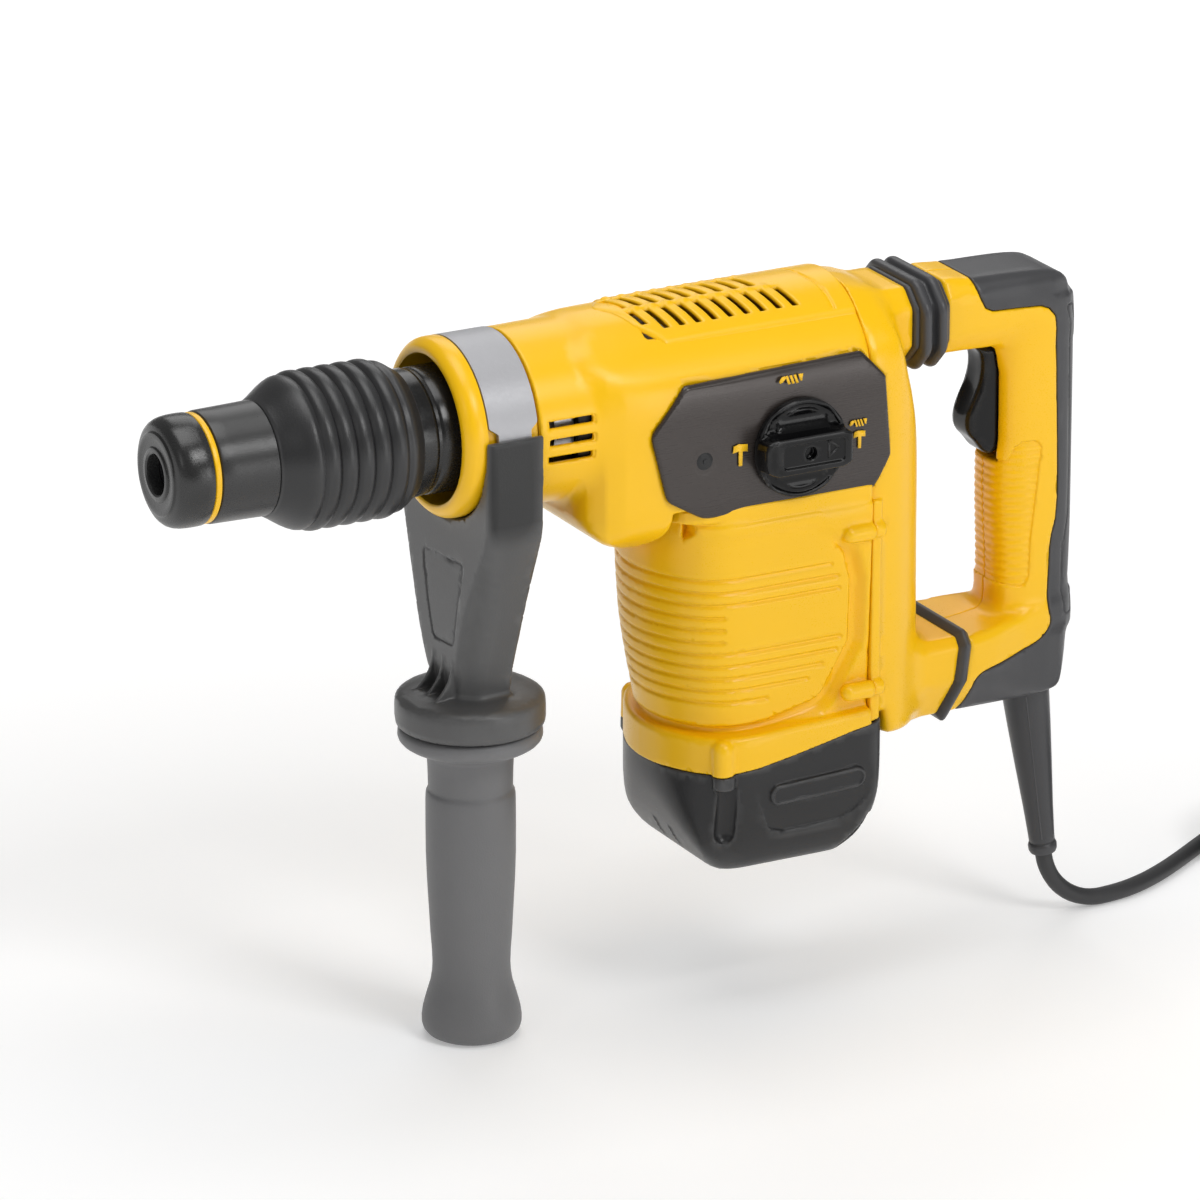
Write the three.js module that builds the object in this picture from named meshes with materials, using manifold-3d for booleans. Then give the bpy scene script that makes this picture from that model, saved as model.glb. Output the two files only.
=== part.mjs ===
// Rotary demolition hammer with a side handle, a vertical motor, a sprung rear D handle and a mains cord.
// Millimetres, +Z up. The tool axis runs along X, the chuck points to -X, the mode selector faces -Y.
// All coordinates below are measured from the tool axis (y = 0, z = 0) and the front plane of the collar (x = 0);
// the whole group is then moved so that the origin is the bottom centre of the object, standing on its side handle.
import * as THREE from "three";
import { mergeVertices } from "three/addons/utils/BufferGeometryUtils.js";
import Module from "manifold-3d";

const wasm = await Module();
wasm.setup();

// ---------------------------------------------------------------- driving dimensions
const ORIGIN = [97.4, -5.05, -300]; // bottom centre of the object in the coordinates below
const GAP = 0.3; // clearance between neighbouring pieces

const CHUCK = { nose: -141, bore: 9.25, capR: 26, bandR: 25.2, tubeR: 26.1, ribR: 36.6, neckR: 29.6 };
const RIBS = { first: -68.5, pitch: 8.5, count: 5 };
const COLLAR = { hole: 35.1, R: 41.9, tubeR: 39.2, back: 32.4 };
const BARREL = { front: 32.8, R: 41.8, seamX: 202.6, seamZ: -45, splitX: 100 };
const PLATE = { t0: 0.35, t1: 2.2 };
const KNOB = { x: 162.6, z: -20.4, R: 23.6, y: -49.6, proud: 12 };
const HOLE = { x: 113.7, z: -20.2, R: 6.1 };
const MOTOR = { x: 152, halfW: 46, seamFront: -178, seamRear: -161.5 };
const GRIP = { x: 17.2, bottom: -300 };
const CORD = { d: 8.2, floor: -300, length: 4000 };
const COIL = { x: 499, y: 0, rIn: 34.5, rOut: 60.3, height: 34.4, step: 8.4 };

const COLOUR = {
  yellow: 0xf2bd12, black: 0x2b2b2d, rubber: 0x3a3a3c, dark: 0x55565a, gun: 0x4b4643,
  steel: 0xb9babd, dull: 0x8c8d90, bright: 0xd6d7d9, copper: 0xb56a35, brass: 0xc8a24a,
};

// ---------------------------------------------------------------- solids from three.js geometry
function solid(geometry, matrix) {
  let g = geometry.index ? geometry.toNonIndexed() : geometry.clone();
  g.deleteAttribute("normal");
  g.deleteAttribute("uv");
  if (matrix) g.applyMatrix4(matrix);
  g = mergeVertices(g, 1e-4);
  const idx = g.index.array, keep = [];
  for (let i = 0; i < idx.length; i += 3) {
    const [a, b, c] = [idx[i], idx[i + 1], idx[i + 2]];
    if (a !== b && b !== c && a !== c) keep.push(a, b, c);
  }
  const make = (t) => new wasm.Manifold(new wasm.Mesh({ numProp: 3, vertProperties: g.attributes.position.array, triVerts: new Uint32Array(t) }));
  let m = make(keep);
  if (m.volume() < 0) {
    for (let i = 0; i < keep.length; i += 3) [keep[i + 1], keep[i + 2]] = [keep[i + 2], keep[i + 1]];
    m = make(keep);
  }
  return m;
}
const basis = (x, y, z, p) => new THREE.Matrix4().makeBasis(new THREE.Vector3(...x), new THREE.Vector3(...y), new THREE.Vector3(...z)).setPosition(...p);
const shapeOf = (pts) => new THREE.Shape(pts.map(([a, b]) => new THREE.Vector2(a, b)));
const extrude = (pts, depth, m) => solid(new THREE.ExtrudeGeometry(shapeOf(pts), { depth, bevelEnabled: false, steps: 1 }), m);
// outline in the plane across each axis: prismX takes [y, z], prismY takes [x, z], prismZ takes [x, y]
const prismX = (pts, x0, x1) => extrude(pts, x1 - x0, basis([0, 1, 0], [0, 0, 1], [1, 0, 0], [x0, 0, 0]));
const prismY = (pts, y0, y1) => extrude(pts, y1 - y0, basis([1, 0, 0], [0, 0, 1], [0, -1, 0], [0, y1, 0]));
const prismZ = (pts, z0, z1) => extrude(pts, z1 - z0, basis([1, 0, 0], [0, 1, 0], [0, 0, 1], [0, 0, z0]));
const box = (x0, x1, y0, y1, z0, z1) => solid(new THREE.BoxGeometry(x1 - x0, y1 - y0, z1 - z0), new THREE.Matrix4().setPosition((x0 + x1) / 2, (y0 + y1) / 2, (z0 + z1) / 2));
// revolved profile: pairs [along the axis, radius]; closed on itself unless it starts and ends on the axis
function lathe(profile, segments, m) {
  const p = profile.map(([a, r]) => new THREE.Vector2(r, a));
  if (profile[0][1] !== 0) p.push(p[0].clone());
  return solid(new THREE.LatheGeometry(p, segments), m);
}
const latheX = (profile, n = 40, y = 0, z = 0) => lathe(profile, n, basis([0, 1, 0], [1, 0, 0], [0, 0, -1], [0, y, z]));
const latheZ = (profile, n = 40, x = 0, y = 0) => lathe(profile, n, basis([1, 0, 0], [0, 0, 1], [0, -1, 0], [x, y, 0]));
const latheY = (profile, n = 40, x = 0, z = 0) => lathe(profile, n, basis([1, 0, 0], [0, 1, 0], [0, 0, 1], [x, 0, z]));
const cylX = (x0, x1, r, y = 0, z = 0, n = 24) => latheX([[x0, 0], [x0, r], [x1, r], [x1, 0]], n, y, z);
const cylY = (y0, y1, r, x = 0, z = 0, n = 24) => latheY([[y0, 0], [y0, r], [y1, r], [y1, 0]], n, x, z);
const cylZ = (z0, z1, r, x = 0, y = 0, n = 24) => latheZ([[z0, 0], [z0, r], [z1, r], [z1, 0]], n, x, y);
const mirrorPts = (half) => [...half, ...half.slice().reverse().filter(([a]) => a !== 0).map(([a, b]) => [-a, b])];
const union = (list) => list.reduce((a, b) => a.add(b));
// offset of a convex-ish outline by d along its vertex normals
function grow(pts, d) {
  const n = pts.length;
  let area = 0;
  pts.forEach(([x, y], i) => { const [u, v] = pts[(i + 1) % n]; area += x * v - u * y; });
  const s = area > 0 ? 1 : -1;
  return pts.map(([x, y], i) => {
    const [px, py] = pts[(i + n - 1) % n], [qx, qy] = pts[(i + 1) % n];
    const a = new THREE.Vector2(x - px, y - py).normalize(), b = new THREE.Vector2(qx - x, qy - y).normalize();
    const na = [a.y * s, -a.x * s], nb = [b.y * s, -b.x * s];
    const m = new THREE.Vector2(na[0] + nb[0], na[1] + nb[1]).normalize();
    const k = d / Math.max(0.5, m.x * na[0] + m.y * na[1]);
    return [x + m.x * k, y + m.y * k];
  });
}
// outline with every corner rounded by radius r (a number, or one per corner)
function rounded(pts, r, seg = 4) {
  const out = [], n = pts.length;
  pts.forEach((p, i) => {
    const R = Array.isArray(r) ? r[i] : r;
    const P = new THREE.Vector2(...p), A = new THREE.Vector2(...pts[(i + n - 1) % n]), B = new THREE.Vector2(...pts[(i + 1) % n]);
    if (!R) { out.push(p); return; }
    const u = A.clone().sub(P), v = B.clone().sub(P);
    const half = Math.acos(Math.min(1, Math.max(-1, u.clone().normalize().dot(v.clone().normalize())))) / 2;
    const t = Math.min(R / Math.tan(half), u.length() * 0.48, v.length() * 0.48);
    const a = P.clone().add(u.clone().normalize().multiplyScalar(t)), b = P.clone().add(v.clone().normalize().multiplyScalar(t));
    for (let k = 0; k <= seg; k++) {
      const s = k / seg, w = 1 - s;
      out.push([w * w * a.x + 2 * w * s * P.x + s * s * b.x, w * w * a.y + 2 * w * s * P.y + s * s * b.y]);
    }
  });
  return out;
}
const ring = (x0, x1, r0, r1, n = 32) => latheX([[x0, r0], [x0, r1], [x1, r1], [x1, r0]], n);
const ringZ = (z0, z1, r0, r1, x, y = 0, n = 28) => latheZ([[z0, r0], [z0, r1], [z1, r1], [z1, r0]], n, x, y);

// ---------------------------------------------------------------- scene graph
const hammer = new THREE.Group();
hammer.name = "demolition_hammer";
hammer.position.set(-ORIGIN[0], -ORIGIN[1], -ORIGIN[2]);
function group(name) {
  const g = new THREE.Group();
  g.name = name;
  hammer.add(g);
  return g;
}
function mesh(parent, name, m, colour, roughness = 0.5, metalness = 0) {
  const s = m.getMesh(), k = s.numProp, v = new Float32Array(s.numVert * 3);
  for (let i = 0; i < s.numVert; i++) v.set(s.vertProperties.subarray(i * k, i * k + 3), i * 3);
  const g = new THREE.BufferGeometry().setAttribute("position", new THREE.BufferAttribute(v, 3)).setIndex(new THREE.BufferAttribute(new Uint32Array(s.triVerts), 1)).toNonIndexed();
  g.computeVertexNormals();
  const o = new THREE.Mesh(g, new THREE.MeshStandardMaterial({ color: colour, roughness, metalness }));
  o.name = name;
  parent.add(o);
  return o;
}

// ================================================================ chuck and spindle
const chuck = group("chuck");
mesh(chuck, "nose_cap", latheX([[-141, 9.4], [-141, 17.5], [-139.6, 21.2], [-137, 23.8], [-133, 25.5], [-128.5, 26], [-122.7, 25.6], [-122.7, 15.9], [-134.3, 15.9], [-134.3, 9.4]], 28), COLOUR.black, 0.42);
mesh(chuck, "nose_band", ring(-122.4, -119.4, 15.9, CHUCK.bandR, 28), COLOUR.yellow, 0.5);
mesh(chuck, "chuck_front_sleeve", latheX([[-119.1, 15.9], [-119.1, 25.8], [-117.5, 26], [-90.9, 26.6], [-90.9, 23.4], [-72, 23.4], [-72, 15.9]], 28), COLOUR.dark, 0.5);
const sleeveProfile = [[-90.6, 24.2], [-90.6, 26.9], [-84, 31.2], [-78.5, 34.6], [-75.4, 35.6]];
for (let i = 0; i < RIBS.count; i++) {
  const c = RIBS.first + i * RIBS.pitch;
  sleeveProfile.push([c - 3.4, 35.3], [c, CHUCK.ribR], [c + 3.6, 35]);
}
sleeveProfile.push([-27.6, 35.4], [-23.6, 33], [-20.3, 30.9], [-20.3, 30.2], [-70.5, 30.2], [-70.5, 24.2]);
mesh(chuck, "lock_sleeve", latheX(sleeveProfile, 24), COLOUR.rubber, 0.6);
mesh(chuck, "chuck_neck", latheX([[-61, 15.9], [-61, CHUCK.neckR], [20, CHUCK.neckR], [20, 22.4], [-22.4, 22.4], [-22.4, 15.9]], 28), COLOUR.black, 0.22);
mesh(chuck, "spindle", latheX([[-134, CHUCK.bore], [-134, 14.2], [-132.5, 15.6], [-22, 15.6], [-22, 22], [20.3, 22], [20.3, 24], [148, 24], [148, 17], [-18, 17], [-18, 11.2], [-58, 11.2], [-62, CHUCK.bore]], 24), COLOUR.steel, 0.35, 0.9);
// bevel wheel on the spindle: a coned ring with teeth on its rear face
let bevelWheel = latheX([[103, 24.9], [103, 31], [108, 35.5], [113, 35.5], [119, 28.5], [119, 24.9]], 16);
for (let i = 0; i < 16; i++) {
  const cut = box(110.5, 125, -1.6, 1.6, 29.5, 38).rotate([i * 22.5 + 9, 0, 0]);
  bevelWheel = bevelWheel.subtract(cut);
}
mesh(chuck, "spindle_bevel_gear", bevelWheel, COLOUR.dull, 0.4, 0.9);

// ================================================================ side handle
const side = group("side_handle");
// collar tube is gripped by a steel band whose ends run down into the bracket
const bandHalf = latheX([[6.5, 39.5], [6.5, 41.6], [31.3, 41.6], [31.3, 39.5]], 36);
const bandTop = bandHalf.subtract(box(0, 40, -60, 60, -60, -3));
const bandTabs = latheX([[11, 39.5], [11, 41.6], [27.5, 41.6], [27.5, 39.5]], 36).intersect(box(0, 40, -60, 60, -36, -3));
mesh(side, "clamp_band", bandTop.add(bandTabs.subtract(box(0, 40, -30, 30, -60, 0))), COLOUR.bright, 0.32, 0.9);
// bracket: two cheeks beside the collar, saddle under it, tapering to the flange
const cheekYZ = [[-46.4, -6], [-46.4, -44], [-43.5, -62], [-36, -95], [-27.5, -124], [-26, -126.4], [26, -126.4], [27.5, -124], [36, -95], [43.5, -62], [46.4, -44], [46.4, -6]];
const bracketXZ = [[2.6, -6], [2.6, -60], [0.5, -80], [0.5, -105], [1.8, -126.4], [32.6, -126.4], [33.2, -100], [34.6, -70], [32.4, -50], [32.4, -6]];
let bracket = prismX(cheekYZ, 0, 36).intersect(prismY(bracketXZ, -60, 60));
bracket = bracket.subtract(latheX([[-2, 0], [-2, 42.4], [8.6, 42.4], [8.6, 42.2], [29.9, 42.2], [29.9, 42.4], [40, 42.4], [40, 0]], 36));
bracket = bracket.subtract(box(10.6, 27.9, -44.6, 44.6, -40, 2)); // room for the band ends
bracket = bracket.subtract(box(8.4, 28.6, -9, 9, -130, -46.5)); // nut well above the flange
bracket = bracket.add(latheZ([[-126.6, 0], [-126.6, 12], [-127.4, 24], [-130.4, 33.4], [-132, 34.9], [-143.4, 34.9], [-145.6, 33.6], [-145.6, 0]], 28, GRIP.x, 0));
bracket = bracket.add(prismX([[-26, -126.2], [-27.5, -129.4], [27.5, -129.4], [26, -126.2]], 3, 32));
bracket = bracket.subtract(cylZ(-150, -120, 6.4, GRIP.x, 0, 20));
mesh(side, "handle_bracket", bracket, COLOUR.dark, 0.5);
mesh(side, "clamp_bolt", latheZ([[-60, 0], [-60, 8], [-68, 8], [-68, 5.6], [-178, 5.6], [-178, 0]], 20, GRIP.x, 0), COLOUR.steel, 0.35, 0.9);
mesh(side, "side_grip", latheZ([[-300, 0], [-300, 17], [-298.6, 21], [-294, 23.2], [-286, 22.4], [-272, 19], [-264.7, 18.3], [-234.8, 19.8], [-209.9, 20.9], [-177.4, 20.9], [-176, 20.1], [-160.5, 20.4], [-157.6, 24], [-154, 31.8], [-151, 33.8], [-147.4, 33.2], [-146.3, 30.5], [-146.3, 6.2], [-178.4, 6.2], [-178.4, 0]], 24, GRIP.x, 0), COLOUR.dark, 0.65);

// ================================================================ fixed housings
const body = group("body");
mesh(body, "collar_ring", latheX([[-4.4, COLLAR.hole], [-3.6, 36.6], [-1.2, 39.6], [0.8, 41.3], [2.4, COLLAR.R], [6.2, COLLAR.R], [6.2, COLLAR.tubeR], [COLLAR.back, COLLAR.tubeR], [COLLAR.back, 34], [8, COLLAR.hole]], 28), COLOUR.yellow, 0.45);

// gear case section across the tool axis, right half, top to bottom
const caseHalf = [[0, 44.2], [14, 42.4], [26, 37.2], [35, 30.6], [41.5, 23], [45.4, 14], [47, 4], [47, -42], [44, -49.5], [36.8, -57], [26, -63.4], [13, -69.4], [0, -72.6]];
const caseXZ = [[56, 24], [58, -46], [62, -51], [68, -56.6], [75, -61.6], [84, -67], [94, -71.6], [100, -73], [100, -45], [BARREL.seamX, -45], [BARREL.seamX, 46], [86, 46], [74, 42], [62, 36]];
const caseXY = [[54, -26], [60, -36], [66, -41.5], [74, -44.8], [84, -46.5], [94, -47], [230, -47]];
const plan = (half) => [...half, ...half.slice().reverse().map(([x, y]) => [x, -y])];
const caseBlock = (d) => prismX(grow(mirrorPts(caseHalf), d), 40, 230).intersect(prismZ(plan(caseXY.map(([x, y]) => [x - d, y - d])), -90, 60));
const barrelTube = latheX([[BARREL.front, 0], [BARREL.front, 41.2], [33.6, 41.8], [66, 42.3], [80, 43.2], [92, 43.6], [BARREL.seamX, 43.6], [BARREL.seamX, 0]], 36);
let barrel = barrelTube.add(caseBlock(0).intersect(prismY(caseXZ, -60, 60)));
barrel = barrel.subtract(latheX([[20, 0], [20, 34], [36, 34], [36, 38.6], [210, 38.6], [210, 0]], 28));
barrel = barrel.subtract(caseBlock(-3.6).intersect(prismY([[66, 34], [66, -47], [75, -57.4], [86, -63.2], [100.6, -68.6], [100.6, -60], [210, -60], [210, 40], [80, 40]], -60, 60)));
barrel = barrel.subtract(box(94, 176, -23, 23, 30, 60)); // window under the vent cover
for (const [z0, z1] of [[5.2, 8.4], [-3.2, 0], [-11.8, -8.6]]) barrel = barrel.subtract(box(37.6, 60, -60, 60, z0, z1));
barrel = barrel.subtract(cylY(-60, -30, 17, KNOB.x, KNOB.z, 28));
barrel = barrel.subtract(cylY(-60, -30, 2.6, HOLE.x, HOLE.z, 14));
mesh(body, "barrel_housing", barrel, COLOUR.yellow, 0.45);

// vent cover: a thin shell over the top with slanted slots
const ventPlan = [[84.5, 0], [103, -31.5], [200.5, -31.5], [206.2, -20], [206.2, 20], [200.5, 31.5], [103, 31.5]];
let vent = latheX([[84, 40], [84, 44.9], [90, 45.7], [140, 46.2], [206.5, 46.5], [206.5, 40]], 48).intersect(prismZ(rounded(ventPlan, [2, 6, 6, 4, 4, 6, 6], 2), 10, 60)).subtract(caseBlock(0.4)).subtract(latheX([[80, 0], [80, 43.9], [210, 43.9], [210, 0]], 48));
for (let i = 0; i < 10; i++) {
  const x = 98 + i * 7.9;
  vent = vent.subtract(prismZ([[x + 9, -27], [x + 12.2, -27], [x + 3.4, -3], [x, -3]], 20, 60));
  vent = vent.subtract(prismZ([[x - 3, 3], [x + 0.4, 3], [x - 8.6 + 6, 20], [x - 8.6 + 2.6, 20]], 20, 60));
}
mesh(body, "vent_cover", vent, COLOUR.yellow, 0.45);

// rear housing: spine behind the gear case and motor, octagonal neck on top, stub of the lower arm
const spinePlan = [[202.9, -47], [213, -45.6], [224, -41], [234, -33], [241.5, -22], [245.4, -10], [246.2, 0]];
const spineXZ = [[202.9, 43.6], [208, 38], [216, 28.5], [224, 17], [232, 3], [240, -14], [245, -30], [247, -50], [247, -170], [238, -178.5], [226, -179], [214, -168], [211.5, -161.6], [202.9, -163.2]];
const neckYZ = rounded([[-26, 27.5], [-17, 36.6], [17, 36.6], [26, 27.5], [26, 10], [17, 1], [-17, 1], [-26, 10]], 3, 2);
const stubYZ = [[-28, -136.4], [-32.5, -140.5], [-32.5, -157], [-20, -177.6], [20, -177.6], [32.5, -157], [32.5, -140.5], [28, -136.4]];
const stubXZ = [[225, -132], [259.6, -132], [253.2, -180], [225, -184]];
const spine = prismZ([...spinePlan, ...spinePlan.slice(0, -1).reverse().map(([x, y]) => [x, -y])], -185, 46).intersect(prismY(spineXZ, -60, 60)).intersect(prismX(grow(mirrorPts([...caseHalf.slice(0, 8), [47, -190], [0, -190]]), 0), 200, 250));
let rear = spine.add(prismX(neckYZ, 206, 235.6)).add(prismX(stubYZ, 232, 265).intersect(prismY(stubXZ, -60, 60)));
rear = rear.subtract(prismZ([[200, -42], [212, -41.5], [222, -37], [231, -29.5], [237.5, -19], [241, -8], [241, 8], [237.5, 19], [231, 29.5], [222, 37], [212, 41.5], [200, 42]], -156, -8));
rear = rear.subtract(prismX([[-13, 5], [-21, 12], [-21, 26], [-14, 32.5], [14, 32.5], [21, 26], [21, 12], [13, 5]], 200, 231)).subtract(box(200, 224, -26, 26, -20, 12));
rear = rear.subtract(cylX(225, 240, 7, 0, 19, 20)); // rear opening of the neck
const bossAt = (x0, x1, y, z) => cylX(x0, x1, 3.9, y, z, 16);
for (const y of [-47.6, 47.6]) for (const z of [-68.2, -146]) rear = rear.add(bossAt(202.9, 209.6, y, z)).subtract(cylX(200, 212, 1.9, y, z, 12));
mesh(body, "rear_housing", rear, COLOUR.yellow, 0.45);

// motor housing: below the gear case, ribbed front and sides, base ring that takes the end cap
const mHalf = (xf, w, r) => { const a = [[xf, 0], [xf + 0.3, -w + r + 4]]; for (let k = 1; k <= 4; k++) { const t = (k / 4) * Math.PI / 2; a.push([xf + r * (1 - Math.cos(t)) + 0.3, -w + r * (1 - Math.sin(t))]); } a.push([BARREL.seamX, -w]); return a; };
const planClose = (half) => [...half, ...half.slice(1).reverse().map(([x, y]) => [x, -y])];
const motorFront = [[100.4, -45.3], [100.4, -76], [102, -92], [104, -112], [107, -138], [108.6, -152], [108.6, -158]];
const motorXZ = [...motorFront, [103.6, -158.6], [103.6, -177.6], [128, -177], [BARREL.seamX, -163.6], [BARREL.seamX, -45.3]];
const motorYZ = [[-47, -45.3], [-46.6, -60], [-45.4, -90], [-44, -125], [-42.8, -150], [-44.4, -156], [-49, -160], [-49.6, -165], [-49.6, -185], [49.6, -185], [49.6, -165], [49, -160], [44.4, -156], [42.8, -150], [44, -125], [45.4, -90], [46.6, -60], [47, -45.3]];
let motor = prismZ(planClose(mHalf(100.4, 49.6, 19)), -190, -45.3).intersect(prismY(motorXZ, -60, 60)).intersect(prismX(motorYZ, 90, 210));
const inner = prismZ(planClose(mHalf(106, 42, 16)), -190, -40).intersect(prismX([[-42.6, -40], [-40.6, -125], [-39.4, -155], [-42, -162], [-42, -190], [42, -190], [42, -162], [39.4, -155], [40.6, -125], [42.6, -40]], 90, 210)).intersect(prismY([[104.6, -40], [104.6, -76], [112.4, -152], [108, -162], [108, -190], [210, -190], [210, -40]], -60, 60));
motor = motor.subtract(inner);
for (const y of [-47.6, 47.6]) for (const z of [-68.2, -146]) motor = motor.add(bossAt(187.6, BARREL.seamX, y, z)).add(box(188, BARREL.seamX, y > 0 ? 40.6 : -46, y > 0 ? 46 : -40.6, z - 3, z + 3)).subtract(cylX(190, 204, 1.9, y, z, 12));
motor = motor.add(prismZ([[117, -50.6], [127.6, -50.6], [127.6, -44], [117, -44]], -176.4, -160)).add(prismZ([[117, 50.6], [127.6, 50.6], [127.6, 44], [117, 44]], -176.4, -160));
mesh(body, "motor_housing", motor, COLOUR.yellow, 0.45);

// end cap under the motor
const capXZ = [[103.6, -177.9], [106.6, -196], [111.5, -211], [119, -223.5], [128, -230], [136, -231.2], [196, -231.2], [203, -226], [209, -212], [211.6, -190], [211.8, -162.2], [202.8, -163.9], [128, -177.3]];
const capYZ = [[-49.6, -160], [-49.4, -184], [-47.6, -200], [-43.5, -214], [-36.5, -226], [-29, -231.2], [29, -231.2], [36.5, -226], [43.5, -214], [47.6, -200], [49.4, -184], [49.6, -160]];
const capXY = [...mHalf(103.6, 49.6, 21).slice(0, -1), [196, -49.6], [206, -47.5], [212, -42], [212, 42], [206, 47.5], [196, 49.6], ...mHalf(103.6, 49.6, 21).slice(1, -1).reverse().map(([x, y]) => [x, -y])];
let cap = prismZ(capXY, -232, -160).intersect(prismY(capXZ, -60, 60)).intersect(prismX(capYZ, 90, 220));
const capIn = prismZ(planClose(mHalf(108, 45, 16)).map(([x, y]) => [Math.min(x, 207.4), y]), -226.8, -150).intersect(prismY([[108, -170], [111, -196], [116, -209], [123, -219.5], [130, -226.6], [194, -226.6], [199.4, -222.4], [204.6, -210], [207.2, -190], [207.4, -150], [108, -150]], -60, 60)).intersect(prismX([[-45, -150], [-44.8, -184], [-43, -199], [-39.6, -211], [-33.6, -221.6], [-27, -226.6], [27, -226.6], [33.6, -221.6], [39.6, -211], [43, -199], [44.8, -184], [45, -150]], 90, 220));
cap = cap.subtract(capIn).subtract(box(211.2, 220, -60, 60, -170, -150));
for (const s of [-1, 1]) {
  cap = cap.subtract(prismZ([[116.6, s * 55], [128, s * 55], [128, s * 47.8], [116.6, s * 47.8]], -210, -176.2));
  cap = cap.add(prismY(rounded([[144, -199.4], [144, -190.6], [190, -190.6], [190, -199.4]], 4.2, 3), -51, 51).intersect(prismX(grow(capYZ, 1.1), 90, 220)).intersect(box(100, 220, s > 0 ? 44 : -60, s > 0 ? 60 : -44, -220, -160)));
}
for (let i = 0; i < 6; i++) cap = cap.subtract(prismY([[150 + i * 7, -240], [153 + i * 7, -240], [153 + i * 7, -226], [150 + i * 7, -226]], -22, 22)); // bottom air intake
mesh(body, "motor_end_cap", cap, COLOUR.black, 0.5);

// mode plate follows the side of the gear case
const plateXZ = rounded([[104.4, 18], [197.6, 18.5], [209, 6.2], [212.3, -32.6], [203.2, -48.4], [114.6, -49.2], [94.7, -37.3], [86.4, -4.4]], [5, 3, 3, 4, 3, 14, 8, 7], 3);
const wall = (d) => prismX(grow(mirrorPts([...caseHalf.slice(0, 8), [47, -80], [0, -80]]), d), 60, 230).intersect(prismZ([...caseXY.slice(0, -1).map(([x, y]) => [x - d, y - d]), ...spinePlan.slice(0, 4).map(([x, y]) => [x, y - d]), [234, 30], [54, 26]], -90, 60));
let plate = wall(PLATE.t1).subtract(wall(PLATE.t0)).intersect(prismY(plateXZ, -60, -38));
plate = plate.subtract(cylY(-60, -30, 19, KNOB.x, KNOB.z, 28)).subtract(cylY(-60, -30, 2.6, HOLE.x, HOLE.z, 14)).subtract(cylY(-60, -48.4, HOLE.R, HOLE.x, HOLE.z, 20));
mesh(body, "mode_plate", plate, COLOUR.gun, 0.38, 0.8);
mesh(body, "plate_screw", cylY(-49, -40, 2.3, HOLE.x, HOLE.z, 14), COLOUR.dull, 0.4, 0.9);
let n = 0;
for (const y of [-47.6, 47.6]) for (const z of [-68.2, -146]) mesh(body, "housing_screw_" + ++n, union([cylX(191, 208, 1.6, y, z, 12), cylX(207.6, 209.4, 1.8, y, z, 12)]), COLOUR.dull, 0.4, 0.9);

// ================================================================ mode selector
const knobGroup = group("mode_selector");
let knob = latheY([[KNOB.y - 3, 0], [KNOB.y - 3, KNOB.R - 1.2], [KNOB.y - 2, KNOB.R], [KNOB.y, KNOB.R], [KNOB.y, 16.4], [-43, 16.4], [-43, 0]], 36, KNOB.x, KNOB.z);
const barXZ = rounded([[-22.6, -8.6], [-22.6, 8.6], [22.8, 8.6], [22.8, -8.6]], 2.2, 2).map(([x, z]) => [x + KNOB.x, z + KNOB.z]);
knob = knob.add(prismY(barXZ, KNOB.y - KNOB.proud, KNOB.y - 2));
mesh(knobGroup, "mode_knob", knob, COLOUR.black, 0.3);

// ================================================================ sprung rear handle
const rearHandle = group("rear_handle");
const handleOuter = [[255.6, 36.2], [263, 36], [270, 34.6], [294, 34.2], [313, 33], [323, 30], [330, 22.6], [333.6, 12], [335, -2], [335.6, -50], [335.8, -84], [335, -106], [332.6, -122], [333, -136], [334.6, -141], [333.6, -154], [330, -170], [325, -178], [260.4, -178], [266.4, -137.2]];
const handleInner = [[276, -133.4], [283, -131.2], [287, -126], [288, -118], [288, -104], [286.2, -88], [285.6, -70], [286.6, -58.6], [290.6, -50], [290.6, -16], [287.4, -8], [280, -3], [270, -1.4], [255.6, -1]];
const side2d = [...handleOuter, ...handleInner];
const armYZ = rounded([[-21.5, 27], [-15, 36.4], [15, 36.4], [21.5, 27], [21.5, 9], [15, -1.4], [-15, -1.4], [-21.5, 9]], 3, 2);
const gripXY = [[284, 0], [284.6, -6], [287.4, -11], [293, -15.6], [301, -18], [318, -18.4], [326, -17.2], [332, -13], [335.2, -6.5], [336, 0]];
const lowXY = [[258, -32], [268, -31], [284, -27], [300, -22], [316, -19], [326, -16.4], [332, -11], [334.8, -5], [335.2, 0]];
const lowYZ = [[-27, -125], [-27, -137], [-31.8, -141], [-31.8, -157], [-22, -171], [-18.4, -178.5], [18.4, -178.5], [22, -171], [31.8, -157], [31.8, -141], [27, -137], [27, -125]];
const closeXY = (half) => [...half, ...half.slice(0).reverse().filter(([, y]) => y !== 0).map(([x, y]) => [x, -y])];
const profileY = prismY(side2d, -40, 40);
const handleBlock = union([
  profileY.intersect(prismX(armYZ, 250, 340)).intersect(prismZ(closeXY([[255.6, -23.5], [318, -21.5], [328, -18.5], [333.6, -11], [335.6, 0]]), -10, 40)),
  profileY.intersect(prismZ(closeXY(gripXY), -134, 20)),
  profileY.intersect(prismZ(closeXY(lowXY), -179, -124)).intersect(prismX(lowYZ, 250, 340)),
]);
const overmoldXZ = [[271, 60], [272.6, 34.6], [274.9, 25.8], [279.6, 18.6], [308.6, 17.3], [316.4, 10.7], [318.4, -15], [320, -68], [320.4, -78], [319, -92], [316.2, -99], [315.8, -135], [317, -143], [314.5, -151], [303, -156.2], [290, -159.4], [277.5, -162.4], [273.4, -168], [266.6, -178.4], [262, -200], [360, -200], [360, 60]];
const overmold = handleBlock.intersect(prismY(overmoldXZ, -60, 60));
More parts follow.
